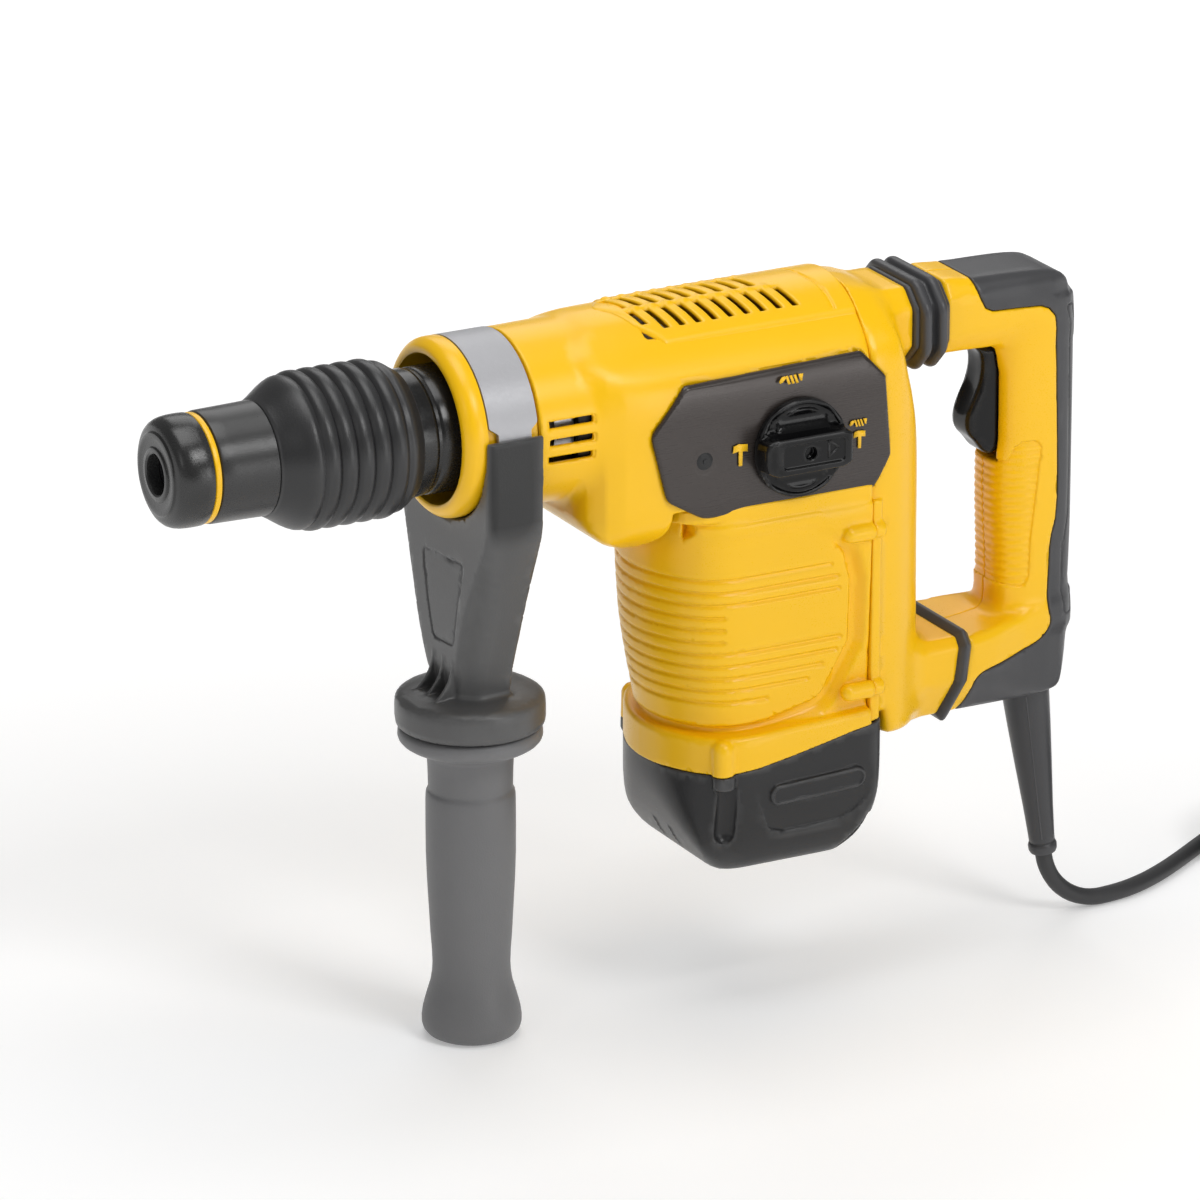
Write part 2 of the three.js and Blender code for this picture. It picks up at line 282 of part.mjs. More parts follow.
mesh(rearHandle, "handle_overmold", overmold, COLOUR.rubber, 0.6);
const shellXZ = grow(overmoldXZ, GAP);
const shells = handleBlock.subtract(prismY(shellXZ, -60, 60));
const pocket = union([box(284, 300, -9.4, 9.4, -60.5, -3.4), prismY([[296, -62], [315, -62], [315, 8], [296, 8]], -12.6, 12.6), box(262, 276, -14, 14, 6, 28), box(274, 300, -6, 6, 6, 14), box(268, 300, -12, 12, -158, -142)]);
for (const [name, y0, y1] of [["handle_shell_left", -60, -0.15], ["handle_shell_right", 0.15, 60]]) mesh(rearHandle, name, shells.subtract(pocket).intersect(box(240, 350, y0, y1, -200, 80)), COLOUR.yellow, 0.45);
mesh(rearHandle, "switch_body", box(307.4, 314.6, -10.5, 10.5, -54, -10), COLOUR.black, 0.5);
const strainDir = new THREE.Vector3(12, 0, -88).normalize();
const strain0 = new THREE.Vector3(314.4, 0, -178.4), strain1 = strain0.clone().addScaledVector(strainDir, 89);
const strainM = new THREE.Matrix4().makeRotationFromQuaternion(new THREE.Quaternion().setFromUnitVectors(new THREE.Vector3(0, 1, 0), strainDir)).setPosition(strain0);
const strain = lathe([[-6, 0], [-6, 11.6], [8, 11.3], [40, 9.2], [78, 6.4], [83, 6.2], [85, 6.9], [88, 6.6], [89, 5.6], [89, 0]], 20, strainM).intersect(box(280, 360, -30, 30, -290, -178.4));
mesh(rearHandle, "strain_relief", strain, COLOUR.rubber, 0.6);

const triggerGroup = group("trigger");
const triggerXZ = [[279.2, -4.2], [281.4, -10], [281, -20], [277, -29], [274.4, -37.6], [274.6, -44], [280.4, -50.2], [285.6, -56], [291, -56.6], [299.4, -50], [299.4, -12], [290, -4.4]];
const triggerXY = [[273, 0], [274.4, -4.6], [279, -7.6], [285, -8.7], [300, -8.7]];
mesh(triggerGroup, "trigger", prismY(triggerXZ, -8.7, 8.7).intersect(prismZ([...triggerXY, ...triggerXY.slice(1).reverse().map(([x, y]) => [x, -y])], -60, 0)), COLOUR.black, 0.28);

// bellows between neck and handle, seal at the lower joint
const oct = (w, z0, z1, c) => rounded([[-w, z1 - c], [-w + c, z1], [w - c, z1], [w, z1 - c], [w, z0 + c], [w - c, z0], [-w + c, z0], [-w, z0 + c]], 4, 1);
let bellows = prismX(oct(26.5, 0.6, 36.8, 9), 236, 255.2).add(prismX(oct(31.4, -4.4, 40.6, 11), 238.6, 243.6)).add(prismX(oct(31.4, -4.4, 40.6, 11), 247, 252));
bellows = bellows.subtract(prismX(oct(22, 5.5, 32, 8), 230, 260));
mesh(body, "bellows", bellows, COLOUR.rubber, 0.6);
const sealYZ = (d) => grow([[-28, -136.4], [-32.5, -140.5], [-32.5, -157], [-20, -177.6], [20, -177.6], [32.5, -157], [32.5, -140.5], [28, -136.4]], d);
mesh(body, "lower_seal", prismX(sealYZ(1.6), 245, 275).intersect(prismY([[260.2, -130], [253.1, -184], [259, -184], [266.1, -130]], -60, 60)), COLOUR.rubber, 0.6);

// ================================================================ motor and striking mechanism
const motorGroup = group("motor");
mesh(motorGroup, "stator", ringZ(-152, -96, 26.2, 38, MOTOR.x, 0, 20), COLOUR.dull, 0.5, 0.6);
mesh(motorGroup, "field_windings", ringZ(-94.5, -88, 27, 36, MOTOR.x, 0, 20), COLOUR.copper, 0.4, 0.8);
mesh(motorGroup, "bearing_lower", ringZ(-219.6, -212, 5.3, 11, MOTOR.x, 0, 20), COLOUR.steel, 0.3, 0.9);
let armature = latheZ([[-222, 0], [-222, 5], [-196, 5], [-196, 14.4], [-176, 14.4], [-176, 8], [-152, 8], [-152, 25.6], [-98, 25.6], [-98, 8], [-84.4, 8], [-84.4, 5], [-58, 5], [-58, 6.4], [-46, 6.4], [-46, 0]], 20, MOTOR.x);
for (let i = 0; i < 6; i++) armature = armature.subtract(box(-1.5, 1.5, 21.5, 30, -153, -97).rotate([0, 0, i * 60]).translate([MOTOR.x, 0, 0]));
mesh(motorGroup, "armature", armature, COLOUR.dull, 0.4, 0.8);
let fan = latheZ([[-84.2, 5.3], [-84.2, 32.6], [-82.4, 32.6], [-82.4, 11], [-74, 11], [-74, 5.3]], 24, MOTOR.x);
for (let i = 0; i < 6; i++) fan = fan.add(box(-0.8, 0.8, 10.6, 31.4, -82.8, -75).rotate([0, 0, i * 60]).translate([MOTOR.x, 0, 0]));
mesh(motorGroup, "cooling_fan", fan, COLOUR.black, 0.5);
mesh(motorGroup, "brush_left", box(147, 157, -31, -14.9, -191, -181), COLOUR.brass, 0.4, 0.8);
mesh(motorGroup, "brush_right", box(147, 157, 14.9, 31, -191, -181), COLOUR.brass, 0.4, 0.8);

const gears = group("gears");
// crank: gear wheel, shaft, disc and eccentric pin
mesh(gears, "crank_gear", union([latheZ([[-56, 0], [-56, 31], [-47, 31], [-47, 8], [-30, 8], [-30, 20], [-21, 20], [-21, 0]], 24, 190), cylZ(-22, -7.4, 4.6, 177.5, 0, 14)]), COLOUR.dull, 0.4, 0.9);
// bevel shaft between motor pinion and spindle
mesh(gears, "bevel_shaft", latheZ([[-56, 0], [-56, 17.6], [-48, 17.6], [-48, 6], [-36, 6], [-36, 10], [-27.4, 7.6], [-27.4, 0]], 20, 127.6), COLOUR.dull, 0.4, 0.9);
mesh(gears, "spindle_bearing_front", ring(44, 54, 24.9, 33.5, 20), COLOUR.steel, 0.3, 0.9);
mesh(gears, "gear_case", latheX([[54.6, 24.9], [54.6, 37.4], [60, 38.2], [98, 38.2], [98, 36.4], [64, 36.4], [64, 24.9]], 20), COLOUR.dull, 0.5, 0.7);

const strike = group("striking_mechanism");
mesh(strike, "piston", latheX([[119, 0], [119, 16.6], [145, 16.6], [145, 12], [127, 12], [127, 0]], 20).add(cylZ(-13.5, 13.5, 2.8, 135.5, 0, 12)), COLOUR.steel, 0.3, 0.9);
const rod = union([cylZ(-5, 5, 8, 135.5, 0, 20), prismZ([[139, -4], [172, -5], [172, 5], [139, 4]], -3.4, 3.4), cylZ(-6.6, 5, 9.6, 177.5, 0, 20)]);
mesh(strike, "connecting_rod", rod.subtract(cylZ(-8, 8, 3.2, 135.5, 0, 14)).subtract(cylZ(-8, 8, 4.9, 177.5, 0, 14)), COLOUR.dull, 0.4, 0.9);
mesh(strike, "ram", latheX([[62, 0], [62, 11], [66, 16.5], [104, 16.5], [104, 0]], 20), COLOUR.steel, 0.3, 0.9);
mesh(strike, "impact_bolt", latheX([[-52, 0], [-52, 8], [-50, 10.8], [-14.6, 10.8], [-14.6, 15.6], [12, 15.6], [12, 9], [26, 9], [26, 0]], 18), COLOUR.steel, 0.3, 0.9);

// ================================================================ mains cord
const cord = group("cord");
const V = (x, y, z) => new THREE.Vector3(x, y, z);
const section = shapeOf(Array.from({ length: 10 }, (_, i) => [CORD.d / 2 * Math.cos(i * Math.PI / 5), CORD.d / 2 * Math.sin(i * Math.PI / 5)]));
const tubeAlong = (pts, steps) => solid(new THREE.ExtrudeGeometry(section, { steps, bevelEnabled: false, extrudePath: new THREE.CatmullRomCurve3(pts, false, "centripetal") }));
// route: out of the strain relief, a bend of CORD.bendR onto the floor, along it, then tangent into the coil
const route = [];
const floorZ = CORD.floor + CORD.d / 2 + 0.15;
const start = strain1.clone().addScaledVector(strainDir, 0.7);
const phi0 = Math.atan2(strainDir.x, -strainDir.z);
const bendR = (start.z - floorZ) / (1 - Math.sin(phi0));
for (let k = 0; k <= 8; k++) {
  const phi = phi0 + (k / 8) * (Math.PI / 2 - phi0);
  route.push(V(start.x + bendR * (Math.cos(phi0) - Math.cos(phi)), 0, start.z - bendR * (Math.sin(phi) - Math.sin(phi0))));
}
const end0 = route[route.length - 1];
// a gentle S on the floor to the far side of the coil
const join = V(COIL.x, COIL.rOut, floorZ);
for (let k = 1; k <= 10; k++) {
  const s = k / 10, e = s * s * (3 - 2 * s);
  route.push(V(end0.x + (join.x - end0.x) * s, COIL.rOut * e, floorZ));
}
const coilSolid = latheZ([[CORD.floor, COIL.rIn - 4.3], [CORD.floor, COIL.rOut + 4.6], [CORD.floor + COIL.height, COIL.rOut + 4.6], [CORD.floor + COIL.height, COIL.rIn - 4.3]], 32, COIL.x, COIL.y);
const coilKeepOut = latheZ([[CORD.floor - 5, COIL.rIn - 4.3 - GAP], [CORD.floor - 5, COIL.rOut + 4.6 + GAP], [CORD.floor + 40, COIL.rOut + 4.6 + GAP], [CORD.floor + 40, COIL.rIn - 4.3 - GAP]], 32, COIL.x, COIL.y);
mesh(cord, "cord_tube", tubeAlong(route, 36).subtract(coilKeepOut).intersect(box(300, 600, -80, 80, CORD.floor, -200)).decompose().reduce((a, b) => (a.volume() > b.volume() ? a : b)), COLOUR.black, 0.6);
mesh(cord, "cord_coil", coilSolid, COLOUR.black, 0.6);
// tail: leaves the top turn on the far side, heading +X, and comes down to the plug on the floor
const top = floorZ + 3 * COIL.step, plugZ = CORD.floor + 18.2, plugX = COIL.x + 63;
const tail = [V(COIL.x, COIL.rOut, top), V(COIL.x + 14, COIL.rOut, top), V(COIL.x + 26, COIL.rOut, top - 1.2), V(COIL.x + 42, COIL.rOut, (top + plugZ) / 2), V(COIL.x + 57, COIL.rOut, plugZ + 0.8), V(plugX + 6, COIL.rOut, plugZ)];
mesh(cord, "cord_tail", tubeAlong(tail, 14).subtract(coilKeepOut).intersect(box(COIL.x, plugX - GAP, -200, 200, CORD.floor, 0)).decompose().reduce((a, b) => (a.volume() > b.volume() ? a : b)), COLOUR.black, 0.6);
// two-pin plug lying on the floor
const plugBody = latheX([[plugX, 0], [plugX, 6], [plugX + 6, 7.6], [plugX + 14, 13], [plugX + 22, 17.2], [plugX + 26, 18], [plugX + 38, 18], [plugX + 41, 17], [plugX + 41, 0]], 24, COIL.rOut, plugZ);
mesh(cord, "plug", union([plugBody, cylX(plugX + 40, plugX + 60, 2.4, COIL.rOut - 9.5, plugZ, 12), cylX(plugX + 40, plugX + 60, 2.4, COIL.rOut + 9.5, plugZ, 12)]), COLOUR.black, 0.5);

export default hammer;
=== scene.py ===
# Looks of the demolition hammer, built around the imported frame.
# Coordinates in the piece code are millimetres from the tool axis (y = 0, z = 0) and the collar's front plane (x = 0);
# place() moves them into the frame, in metres.
import math
import time

import bpy
import numpy as np
import openvdb
from mathutils import Matrix, Vector


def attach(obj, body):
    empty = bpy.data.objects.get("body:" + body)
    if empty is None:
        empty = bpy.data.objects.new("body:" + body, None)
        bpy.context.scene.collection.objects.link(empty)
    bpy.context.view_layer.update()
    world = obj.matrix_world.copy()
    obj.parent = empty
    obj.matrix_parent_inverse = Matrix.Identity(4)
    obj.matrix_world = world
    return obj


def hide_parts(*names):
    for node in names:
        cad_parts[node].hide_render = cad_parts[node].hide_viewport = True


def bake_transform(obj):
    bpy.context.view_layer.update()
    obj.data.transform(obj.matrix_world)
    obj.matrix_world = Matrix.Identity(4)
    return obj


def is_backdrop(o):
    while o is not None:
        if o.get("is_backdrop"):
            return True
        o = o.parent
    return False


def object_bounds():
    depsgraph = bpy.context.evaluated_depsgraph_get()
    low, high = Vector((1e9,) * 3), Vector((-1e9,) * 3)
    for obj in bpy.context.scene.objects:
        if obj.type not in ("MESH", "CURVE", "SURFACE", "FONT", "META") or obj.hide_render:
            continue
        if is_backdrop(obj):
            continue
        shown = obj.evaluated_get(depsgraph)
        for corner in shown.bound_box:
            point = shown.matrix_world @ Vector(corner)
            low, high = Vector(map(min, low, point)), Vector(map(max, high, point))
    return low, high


T0 = time.time()
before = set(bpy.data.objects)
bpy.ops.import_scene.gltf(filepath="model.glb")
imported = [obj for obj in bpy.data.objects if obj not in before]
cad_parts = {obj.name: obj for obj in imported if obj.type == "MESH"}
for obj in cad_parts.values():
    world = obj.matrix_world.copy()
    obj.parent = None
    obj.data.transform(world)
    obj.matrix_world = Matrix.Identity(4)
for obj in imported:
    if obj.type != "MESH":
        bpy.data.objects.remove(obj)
CAD_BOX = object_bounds()
ORIGIN = np.array([97.4, -5.05, -300.0])
H = 0.62  # voxel of the large housings, mm
F32 = np.float32


def place(p):
    return (np.asarray(p, float) - ORIGIN) / 1000.0


# ------------------------------------------------------------------ camera
CAM = np.array([-1759.880, -3455.198, 1308.619])
az, el = math.radians(-28.1), math.radians(19.75)
back = Vector((math.sin(az) * math.cos(el), -math.cos(az) * math.cos(el), math.sin(el)))
right = Vector((math.cos(az), math.sin(az), 0))
up = back.cross(right)
cam_data = bpy.data.cameras.new("camera")
cam_data.lens = 270.0
cam_data.sensor_width = 36.0
cam_data.sensor_fit = "HORIZONTAL"
cam_data.clip_start, cam_data.clip_end = 0.1, 60.0
cam = bpy.data.objects.new("camera", cam_data)
bpy.context.scene.collection.objects.link(cam)
cam.matrix_world = Matrix(((right.x, up.x, back.x, 0), (right.y, up.y, back.y, 0), (right.z, up.z, back.z, 0), (0, 0, 0, 1)))
cam.location = place(CAM)
bpy.context.scene.camera = cam

# ------------------------------------------------------------------ node materials
SRGB = lambda *c: tuple((v / 255 / 12.92) if v / 255 <= 0.04045 else ((v / 255 + 0.055) / 1.055) ** 2.4 for v in c)


def material(name, base, rough, metal=0.0, spec=0.5, coat=0.0, coat_rough=0.2, grain=900.0, grain_depth=0.03, mottle=0.04,
             rough_var=0.06, brushed=None, edge_highlight=0.0, edge_highlight_col=None, aniso=0.0, sheen=0.0):
    """Moulded or machined surface: base colour with faint mottling, a fine grain in roughness and bump, and lighter
    convex edges that are painted highlights.
    """
    m = bpy.data.materials.new(name)
    m.use_nodes = True
    nt = m.node_tree
    n, l = nt.nodes, nt.links
    n.clear()
    out = n.new("ShaderNodeOutputMaterial")
    bs = n.new("ShaderNodeBsdfPrincipled")
    l.new(bs.outputs[0], out.inputs[0])
    bs.inputs["Metallic"].default_value = metal
    bs.inputs["Specular IOR Level"].default_value = spec
    bs.inputs["Coat Weight"].default_value = coat
    bs.inputs["Coat Roughness"].default_value = coat_rough
    bs.inputs["Anisotropic"].default_value = aniso
    bs.inputs["Sheen Weight"].default_value = sheen
    tc = n.new("ShaderNodeTexCoord")
    big = n.new("ShaderNodeTexNoise")
    big.inputs["Scale"].default_value = 18.0
    big.inputs["Detail"].default_value = 5.0
    l.new(tc.outputs["Object"], big.inputs["Vector"])
    fine = n.new("ShaderNodeTexNoise")
    fine.inputs["Scale"].default_value = grain
    fine.inputs["Detail"].default_value = 2.0
    if brushed:
        mp = n.new("ShaderNodeMapping")
        mp.inputs["Scale"].default_value = brushed
        l.new(tc.outputs["Object"], mp.inputs["Vector"])
        l.new(mp.outputs[0], fine.inputs["Vector"])
    else:
        l.new(tc.outputs["Object"], fine.inputs["Vector"])
    ramp = n.new("ShaderNodeMapRange")
    ramp.inputs["From Min"].default_value, ramp.inputs["From Max"].default_value = 0.3, 0.7
    ramp.inputs["To Min"].default_value, ramp.inputs["To Max"].default_value = 1.0 - mottle, 1.0 + mottle
    l.new((fine if brushed else big).outputs["Fac"], ramp.inputs["Value"])
    mul = n.new("ShaderNodeVectorMath")
    mul.operation = "SCALE"
    mul.inputs[0].default_value = base
    l.new(ramp.outputs[0], mul.inputs["Scale"])
    colour = mul.outputs[0]
    # painted highlight: convex edges (high Pointiness) are mixed toward a lighter colour, as light catching the edges
    # painted into the base colour
    if edge_highlight > 0:
        geo = n.new("ShaderNodeNewGeometry")
        edge = n.new("ShaderNodeMapRange")
        edge.inputs["From Min"].default_value, edge.inputs["From Max"].default_value = 0.51, 0.60
        edge.inputs["To Min"].default_value, edge.inputs["To Max"].default_value = 0.0, edge_highlight
        l.new(geo.outputs["Pointiness"], edge.inputs["Value"])
        mix = n.new("ShaderNodeMix")
        mix.data_type = "RGBA"
        mix.inputs["B"].default_value = (*(edge_highlight_col or tuple(min(1, c * 1.5 + 0.02) for c in base)), 1)
        l.new(colour, mix.inputs["A"])
        l.new(edge.outputs[0], mix.inputs["Factor"])
        colour = mix.outputs["Result"]
    l.new(colour, bs.inputs["Base Color"])
    rr = n.new("ShaderNodeMapRange")
    rr.inputs["From Min"].default_value, rr.inputs["From Max"].default_value = 0.3, 0.7
    rr.inputs["To Min"].default_value, rr.inputs["To Max"].default_value = max(0.02, rough - rough_var), min(1.0, rough + rough_var)
    mixn = n.new("ShaderNodeMath")
    mixn.operation = "ADD"
    half1 = n.new("ShaderNodeMath"); half1.operation = "MULTIPLY"; half1.inputs[1].default_value = 0.5
    half2 = n.new("ShaderNodeMath"); half2.operation = "MULTIPLY"; half2.inputs[1].default_value = 0.5
    l.new(big.outputs["Fac"], half1.inputs[0])
    l.new(fine.outputs["Fac"], half2.inputs[0])
    l.new(half1.outputs[0], mixn.inputs[0])
    l.new(half2.outputs[0], mixn.inputs[1])
    l.new(mixn.outputs[0], rr.inputs["Value"])
    l.new(rr.outputs[0], bs.inputs["Roughness"])
    if grain_depth > 0:
        bump = n.new("ShaderNodeBump")
        bump.inputs["Strength"].default_value = grain_depth
        bump.inputs["Distance"].default_value = 0.0006
        l.new(fine.outputs["Fac"], bump.inputs["Height"])
        l.new(bump.outputs[0], bs.inputs["Normal"])
    return m


MAT = {
    # the lighter edge colours given below are painted highlights on convex edges
    "yellow": material("moulded_yellow", SRGB(250, 194, 4), 0.30, spec=0.42, grain=1400, grain_depth=0.05, mottle=0.012, rough_var=0.05, edge_highlight=0.10, edge_highlight_col=SRGB(255, 214, 60)),
    "yellow_band": material("band_yellow", SRGB(250, 194, 4), 0.30, grain=1200, grain_depth=0.04, mottle=0.02),
    "cap": material("end_cap_black", SRGB(36, 36, 37), 0.32, spec=0.36, grain=1500, grain_depth=0.10, mottle=0.08, edge_highlight=0.35, edge_highlight_col=SRGB(140, 140, 140)),
    "rubber": material("soft_rubber", SRGB(62, 62, 64), 0.36, spec=0.42, grain=1700, grain_depth=0.12, mottle=0.06, edge_highlight=0.30, edge_highlight_col=SRGB(110, 110, 112)),
    "sleeve": material("sleeve_rubber", SRGB(38, 38, 39), 0.36, spec=0.5, grain=1500, grain_depth=0.12, mottle=0.10, edge_highlight=0.35, edge_highlight_col=SRGB(120, 120, 120)),
    "grip": material("grip_rubber", SRGB(112, 112, 113), 0.48, spec=0.45, grain=1300, grain_depth=0.22, mottle=0.06),
    "bracket": material("glass_filled_plastic", SRGB(76, 76, 76), 0.38, spec=0.5, grain=1300, grain_depth=0.12, mottle=0.05, edge_highlight=0.3, edge_highlight_col=SRGB(150, 150, 150)),
    "tube": material("front_sleeve", SRGB(44, 44, 44), 0.30, spec=0.5, grain=1500, grain_depth=0.08, mottle=0.08),
    "gloss": material("gloss_black", SRGB(10, 10, 11), 0.17, spec=0.24, coat=0.0, grain=500, grain_depth=0.02, mottle=0.05, rough_var=0.05, edge_highlight=0.25, edge_highlight_col=SRGB(120, 120, 120)),
    "neck": material("polished_black", SRGB(22, 22, 22), 0.24, spec=0.5, grain=500, grain_depth=0.03, mottle=0.15, rough_var=0.08),
    "nose": material("nose_black", SRGB(26, 26, 26), 0.28, spec=0.55, grain=900, grain_depth=0.08, mottle=0.08, edge_highlight=0.3, edge_highlight_col=SRGB(110, 110, 110)),
    "plate": material("brushed_gunmetal", SRGB(58, 52, 49), 0.28, metal=0.35, spec=0.6, grain=60, grain_depth=0.02, mottle=0.04, rough_var=0.05, brushed=(2.0, 12.0, 30.0)),
    "plate_edge": material("label_recess", SRGB(62, 52, 48), 0.5, metal=0.3, grain=700, grain_depth=0.03, mottle=0.05),
    "band": material("satin_steel", SRGB(172, 172, 175), 0.46, metal=0.55, grain=500, grain_depth=0.10, mottle=0.03, rough_var=0.06),
    "steel": material("ground_steel", SRGB(176, 177, 180), 0.32, metal=1.0, grain=500, grain_depth=0.06, mottle=0.06, rough_var=0.08),
    "dark_steel": material("dark_steel", SRGB(70, 70, 73), 0.40, metal=0.9, grain=500, grain_depth=0.06, mottle=0.08),
    "copper": material("enamelled_copper", SRGB(166, 92, 52), 0.30, metal=0.9, grain=300, grain_depth=0.08, mottle=0.15),
    "brass": material("plain_brass", SRGB(190, 158, 84), 0.32, metal=1.0, grain=500, grain_depth=0.05, mottle=0.06),
    "icon": material("icon_yellow", SRGB(250, 196, 30), 0.45, grain=700, grain_depth=0.02, mottle=0.02),
    "black": material("plain_black", SRGB(18, 18, 19), 0.5, grain=900, grain_depth=0.06, mottle=0.08),
    "cord": material("cord_jacket", SRGB(56, 56, 57), 0.48, spec=0.45, grain=1100, grain_depth=0.08, mottle=0.08),
    "pin": material("nickel_pin", SRGB(200, 198, 190), 0.22, metal=1.0, grain=400, grain_depth=0.03, mottle=0.03),
}


def darken_cheeks(m, z_lo, z_hi, y_lo, y_hi, factor):
    """Darker surface high on the two cheeks of a piece, by its place in the object's frame (metres)."""
    nt = m.node_tree
    n, l = nt.nodes, nt.links
    bs = next(q for q in n if q.type == "BSDF_PRINCIPLED")
    src = bs.inputs["Base Color"].links[0].from_socket
    tc = n.new("ShaderNodeTexCoord")
    sep = n.new("ShaderNodeSeparateXYZ")
    l.new(tc.outputs["Object"], sep.inputs[0])
    ay = n.new("ShaderNodeMath"); ay.operation = "ABSOLUTE"
    l.new(sep.outputs["Y"], ay.inputs[0])
    rz, ry = n.new("ShaderNodeMapRange"), n.new("ShaderNodeMapRange")
    rz.inputs["From Min"].default_value, rz.inputs["From Max"].default_value = z_lo, z_hi
    ry.inputs["From Min"].default_value, ry.inputs["From Max"].default_value = y_lo, y_hi
    l.new(sep.outputs["Z"], rz.inputs["Value"])
    l.new(ay.outputs[0], ry.inputs["Value"])
    mu = n.new("ShaderNodeMath"); mu.operation = "MULTIPLY"
    l.new(rz.outputs[0], mu.inputs[0]); l.new(ry.outputs[0], mu.inputs[1])
    mx = n.new("ShaderNodeMix"); mx.data_type = "RGBA"
    mx.inputs["B"].default_value = (factor, factor, factor, 1)
    l.new(src, mx.inputs["A"]); l.new(mu.outputs[0], mx.inputs["Factor"])
    l.new(mx.outputs["Result"], bs.inputs["Base Color"])


_zb = [float(place((0, 0, t))[2]) for t in (-50.0, -36.0)]
_yb = abs(float(place((0, -44.4, 0))[1]))
darken_cheeks(MAT["bracket"], _zb[0], _zb[1], _yb - 0.0012, _yb + 0.0008, 0.010)


# ------------------------------------------------------------------ meshes
def new_object(name, verts_mm, faces, mat, normals=None, smooth=True, loose=None):
    me = bpy.data.meshes.new(name)
    v = place(verts_mm).astype(F32)
    tris, quads = faces
    nt_, nq = len(tris), len(quads)
    loops = np.concatenate([np.asarray(tris, np.int32).reshape(-1), np.asarray(quads, np.int32).reshape(-1)])
    me.vertices.add(len(v))
    me.vertices.foreach_set("co", v.reshape(-1))
    me.loops.add(len(loops))
    me.loops.foreach_set("vertex_index", loops)
    me.polygons.add(nt_ + nq)
    starts = np.concatenate([np.arange(nt_) * 3, nt_ * 3 + np.arange(nq) * 4]).astype(np.int32)
    me.polygons.foreach_set("loop_start", starts)
    me.update(calc_edges=True)
    me.validate()
    if smooth:
        me.polygons.foreach_set("use_smooth", np.ones(len(me.polygons), bool))
    if normals is not None and len(me.vertices) == len(normals):
        me.normals_split_custom_set_from_vertices(normals.tolist())
    me.materials.append(mat)
    o = bpy.data.objects.new(name, me)
    bpy.context.scene.collection.objects.link(o)
    return o


def finish_piece(o, body, nodes=()):
    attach(o, body)
    if nodes:
        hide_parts(*nodes)
    return o


# ------------------------------------------------------------------ distance fields
def rmax(a, b, k=0.0):
    if k <= 0:
        return np.maximum(a, b)
    h = np.maximum(k - np.abs(a - b), 0) / k
    return np.maximum(a, b) + h * h * (k * 0.25)


def rmin(a, b, k=0.0):
    if k <= 0:
        return np.minimum(a, b)
    h = np.maximum(k - np.abs(a - b), 0) / k
    return np.minimum(a, b) - h * h * (k * 0.25)


def edge(d2, dz, r=0.0):
    """Extrusion of a 2D distance d2 with end distance dz and edge radius r."""
    if r <= 0:
        return np.maximum(d2, dz)
    a, b = d2 + r, dz + r
    return np.minimum(np.maximum(a, b), 0) + np.sqrt(np.maximum(a, 0) ** 2 + np.maximum(b, 0) ** 2) - r


def poly(pts):
    P = np.array(pts, float)

    def f(u, v):
        u, v = np.broadcast_arrays(u, v)
        u = u.astype(F32); v = v.astype(F32)
        d = np.full(u.shape, 1e12, F32)
        inside = np.zeros(u.shape, bool)
        for i in range(len(P)):
            a, b = P[i], P[i - 1]
            e = b - a
            wx, wy = u - F32(a[0]), v - F32(a[1])
            t = np.clip((wx * F32(e[0]) + wy * F32(e[1])) / F32(e @ e + 1e-12), 0, 1)
            bx, by = wx - F32(e[0]) * t, wy - F32(e[1]) * t
            d = np.minimum(d, bx * bx + by * by)
            c = (P[i][1] > v) != (P[i - 1][1] > v)
            if e[1] != 0:
                inside ^= c & (u < F32(e[0]) * (v - F32(a[1])) / F32(e[1]) + F32(a[0]))
        d = np.sqrt(d)
        return np.where(inside, -d, d)

    return f


def rounded(pts, r, seg=5):
    out, n = [], len(pts)
    for i, p in enumerate(pts):
        R = r[i] if isinstance(r, (list, tuple)) else r
        P = np.array(p, float)
        A, B = np.array(pts[i - 1], float), np.array(pts[(i + 1) % n], float)
        if not R:
            out.append(tuple(P))
            continue
        u, v = A - P, B - P
        lu, lv = np.linalg.norm(u), np.linalg.norm(v)
        u, v = u / lu, v / lv
        half = math.acos(max(-1, min(1, float(u @ v)))) / 2
        t = min(R / math.tan(half), lu * 0.48, lv * 0.48) if half < math.pi / 2 - 1e-4 else 0
        a, b = P + u * t, P + v * t
        for k in range(seg + 1):
            s = k / seg
            q = (1 - s) ** 2 * a + 2 * s * (1 - s) * P + s * s * b
            out.append((q[0], q[1]))
    return out


def smooth_line(pts, n=6):
    """Catmull-Rom through the points (open)."""
    P = np.array(pts, float)
    Q = np.vstack([2 * P[0] - P[1], P, 2 * P[-1] - P[-2]])
    out = []
    for i in range(1, len(Q) - 2):
        for k in range(n):
            t = k / n
            a, b, c, d = Q[i - 1], Q[i], Q[i + 1], Q[i + 2]
            out.append(0.5 * ((2 * b) + (c - a) * t + (2 * a - 5 * b + 4 * c - d) * t * t + (3 * b - a - 3 * c + d) * t ** 3))
    out.append(P[-1])
    return [tuple(p) for p in out]


def prX(pts, x0, x1, r=0.0):
    g = poly(pts)
    return lambda X, Y, Z: edge(g(Y, Z), np.abs(X - F32((x0 + x1) / 2)) - F32((x1 - x0) / 2), r)


def prY(pts, y0, y1, r=0.0):
    g = poly(pts)
    return lambda X, Y, Z: edge(g(X, Z), np.abs(Y - F32((y0 + y1) / 2)) - F32((y1 - y0) / 2), r)


def prZ(pts, z0, z1, r=0.0):
    g = poly(pts)
    return lambda X, Y, Z: edge(g(X, Y), np.abs(Z - F32((z0 + z1) / 2)) - F32((z1 - z0) / 2), r)


